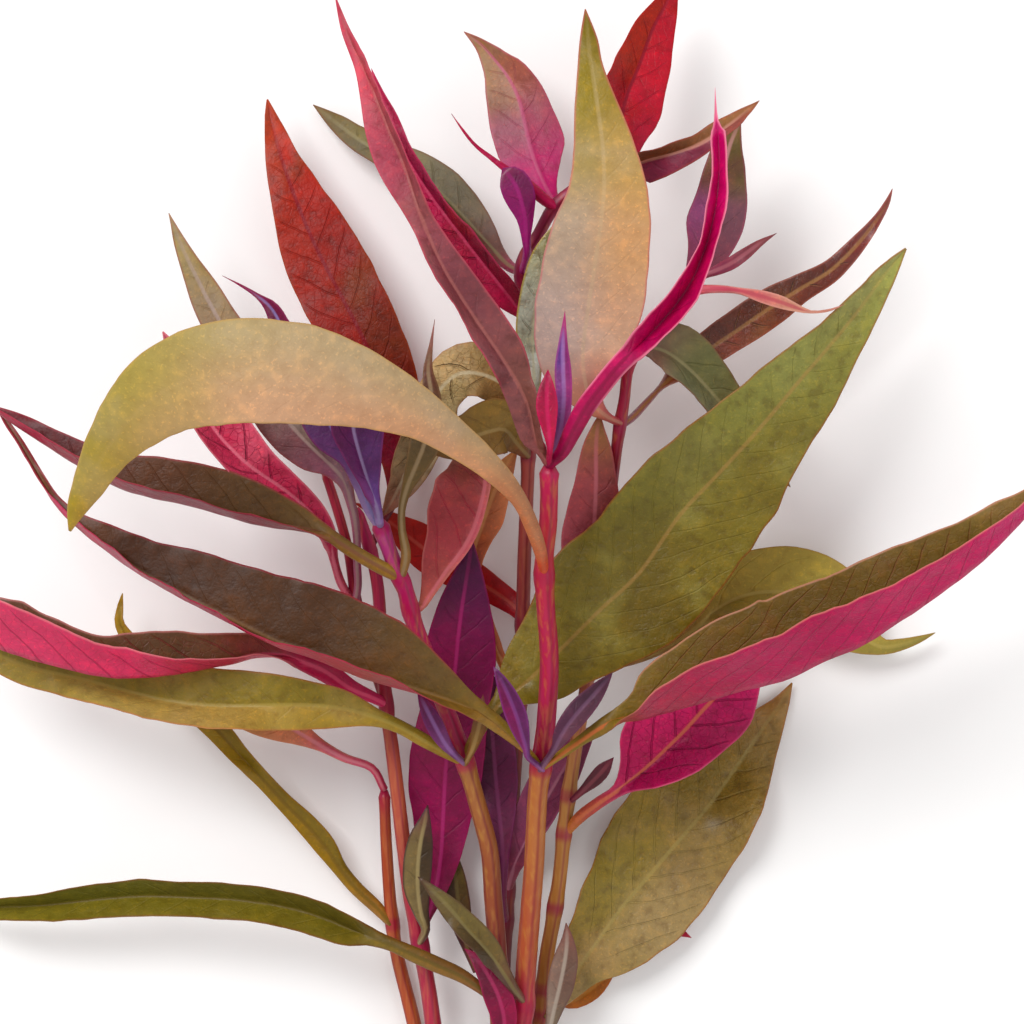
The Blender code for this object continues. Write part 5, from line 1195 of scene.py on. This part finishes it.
makeStem("left_fork_stem", {
    "radius": (0.8, 0.7),
    "path": [(380, 686, 10.2), (368, 650, 10.2), (358, 612, 10.4), (354, 590, 10.8), (349, 555, 11.6),
        (343, 530, 12.2), (334, 500, 12.6), (324, 470, 12.8)],
    "colours": {0: "8a2840", 0.5: "a83050", 1: "c05066"},
    "streakAndSheen": "c87a60", "ridge": "7a2040", "nodeColour": "981c4c",
})

makeStem("right_stem", {
    "radius": (1.25, 0.75),
    "path": [(508, 1192, 2.4), (526, 1110, 3.4), (540, 1024, 4.8), (546, 960, 6), (552, 925, 7),
        (559, 880, 8.6), (563, 840, 10), (567, 805, 10.8), (575, 750, 12), (587, 680, 13.4), (600, 580, 15),
        (611, 490, 17), (619, 430, 19), (624, 400, 20), (628, 370, 21), (640, 345, 22), (655, 327, 22.8),
        (672, 309, 23.8), (690, 288, 24.6)],
    "colours": {0: "a85c48", 0.3: "b88450", 0.45: "b88a5c", 0.55: "a86a58", 0.7: "983850", 0.8: "a02048",
        1: "b83a60"},
    "streakAndSheen": "c8a068", "ridge": "8a3444", "nodeColour": "a02858",
})

makeStem("back_stem", {
    "radius": (1.3, 0.85),
    "path": [(482, 1192, 2.4), (492, 1110, 1.9), (499, 1024, 1.9), (506, 900, 2.2), (512, 800, 2.8),
        (519, 700, 4.6), (522, 640, 6.6), (524, 560, 9.5), (528, 450, 13), (527, 350, 16), (521, 270, 18),
        (538, 235, 19), (556, 205, 20), (590, 180, 20.6), (628, 176, 20.4)],
    "colours": {0: "7a2c3c", 0.4: "8a3a44", 0.7: "b06058", 0.85: "98305a", 1: "a82a5c"},
    "streakAndSheen": "b87a58", "ridge": "6a2038", "nodeColour": "8a1c48",
})

print("stems made")

# the foot that the stems grow from
footForm = {
    "node": "foot", "size": (13.0, 11.0, 9.4), "place": (478, 1192), "gap": 0.35,
    "rows": 46, "sides": 72, "swell": [(0.0, 0.8), (0.1, 0.93), (0.5, 0.98), (0.85, 0.9), (1.0, 0.64)],
    "colours": {0: "9a8466", 0.12: "7c5a44", 0.5: "84483c", 1: "8a3c44"},
    "fibre": "c0a078", "dark": "4a2c26", "cut": "b8a27c",
    "bumps": 0.05, "mostBump": 0.02, "furrows": 13, "furrowDepth": 0.022, "twist": 2,
    "fibreStretch": (1.0, 0.12, 1.0), "depth": 1.1, "rough": 0.62,
    "relief": 0.7, "reliefDepth": 0.0004,
}


def footFinish(foot):
    board = Board(foot["node"] + "Finish")
    _, along, cut = board.split("leafPlace")
    fibres = board.noise(700.0, 4.0, foot["fibreStretch"])
    cloud = board.noise(240.0, 3.0)
    skin = board.ramp(along + (cloud - 0.5) * 0.2, foot["colours"])
    skin = board.mix(fibres.between(0.5, 0.7) * 0.6, skin, paint(foot["fibre"]))
    skin = board.mix(cloud.between(0.55, 0.75) * 0.5, skin, paint(foot["dark"]))
    pores = board.cells(1500.0)
    face = board.mix(1 - pores.between(0.0, 0.2), paint(foot["cut"]), paint(foot["dark"]))
    skin = board.mix(cut, skin, face)
    skin = board.deepen(skin, foot["depth"], 1.0)
    board.coat(Base_Color=skin, Roughness=foot["rough"] + fibres * 0.2, Metallic=0.0)
    board.bump(fibres + cloud, foot["relief"], foot["reliefDepth"])
    return board.material


def makeFoot(foot):
    wide, long, high = foot["size"]
    middle, top = place(*foot["place"], 0)[:2]
    points, places, spans = [], [], []
    sides = foot["sides"]
    for row in range(foot["rows"] + 1):
        share = row / foot["rows"]
        swell = np.interp(share, *zip(*foot["swell"]))
        for step in range(sides):
            angle = 2 * math.pi * step / sides
            spot = Vector((share * 4, math.cos(angle) * 1.5, math.sin(angle) * 1.5))
            bumps = foot["bumps"] * noise.noise(spot)
            turn = foot["twist"] * math.sin(share * 3)
            furrow = foot["furrowDepth"] * math.cos(angle * foot["furrows"] + turn)
            reach = swell * (1 + min(bumps, foot["mostBump"]) + furrow - foot["mostBump"])
            points.append(Vector((middle + wide / 2 * reach * math.cos(angle),
                                  top - foot["gap"] - long * (1 - share),
                                  high / 2 - high / 2 * min(reach, 0.995) * math.sin(angle))))
            places.append((step / sides, share, 1.0 if row == 0 else 0.0))
            spans.append((0.0, 0.0, 0.0))
    faces = tubeFaces(foot["rows"], sides)
    piece = buildMesh(foot["node"] + "Skin", points, faces, places, spans, footFinish(foot))
    keep(piece, foot["node"])


makeFoot(footForm)
print("foot made")


# table, lights and camera
tableForm = {"wide": 3.0, "colour": "fbfaf9", "grain": "f7f6f5"}
studio = {
    "sky": (1.0, 1.0, 1.0), "skyStrength": 0.6,
    "lamps": [("keyLamp", (-0.4, 0.45, 0.8), 0.45, 6.4), ("fillLamp", (0.55, -0.1, 0.7), 0.7, 1.2),
              ("lowLamp", (-0.1, -0.7, 0.5), 0.6, 0.8)],
}


def makeTable(table):
    half = table["wide"] / 2
    mesh = bpy.data.meshes.new("table")
    corners = [(-half, -half, 0), (half, -half, 0), (half, half, 0), (-half, half, 0)]
    mesh.from_pydata(corners, [], [(0, 1, 2, 3)])
    board = Board("tableFinish")
    tint = board.mix(board.noise(40.0), paint(table["colour"]), paint(table["grain"]))
    board.coat(Base_Color=tint, Roughness=0.7, Metallic=0.0)
    mesh.materials.append(board.material)
    top = bpy.data.objects.new("table", mesh)
    bpy.context.scene.collection.objects.link(top)


def makeStudio(form):
    bpy.context.scene.view_settings.view_transform = "Standard"
    world = bpy.data.worlds.new("studio")
    bpy.context.scene.world = world
    world.use_nodes = True
    sky = world.node_tree.nodes["Background"]
    sky.inputs["Color"].default_value = (*form["sky"], 1.0)
    sky.inputs["Strength"].default_value = form["skyStrength"]
    for name, spot, size, power in form["lamps"]:
        light = bpy.data.lights.new(name, "AREA")
        light.size = size
        light.energy = power
        lamp = bpy.data.objects.new(name, light)
        lamp.location = spot
        lamp.rotation_euler = (-Vector(spot)).to_track_quat("-Z", "Y").to_euler()
        bpy.context.scene.collection.objects.link(lamp)


def makeCamera():
    # the lens makes one picture point as wide as it is at the middle height
    seen = picture["size"] * picture["point"]
    data = bpy.data.cameras.new("camera")
    data.sensor_width = picture["sensor"]
    data.lens = picture["sensor"] * (picture["eyeHeight"] - picture["middleHeight"]) / seen
    data.clip_start = 0.01
    camera = bpy.data.objects.new("camera", data)
    camera.location = (picture["shift"][0] * mm, picture["shift"][1] * mm, picture["eyeHeight"] * mm)
    bpy.context.scene.collection.objects.link(camera)
    bpy.context.scene.camera = camera


makeTable(tableForm)
makeStudio(studio)
makeCamera()
print("table, lights and camera made")
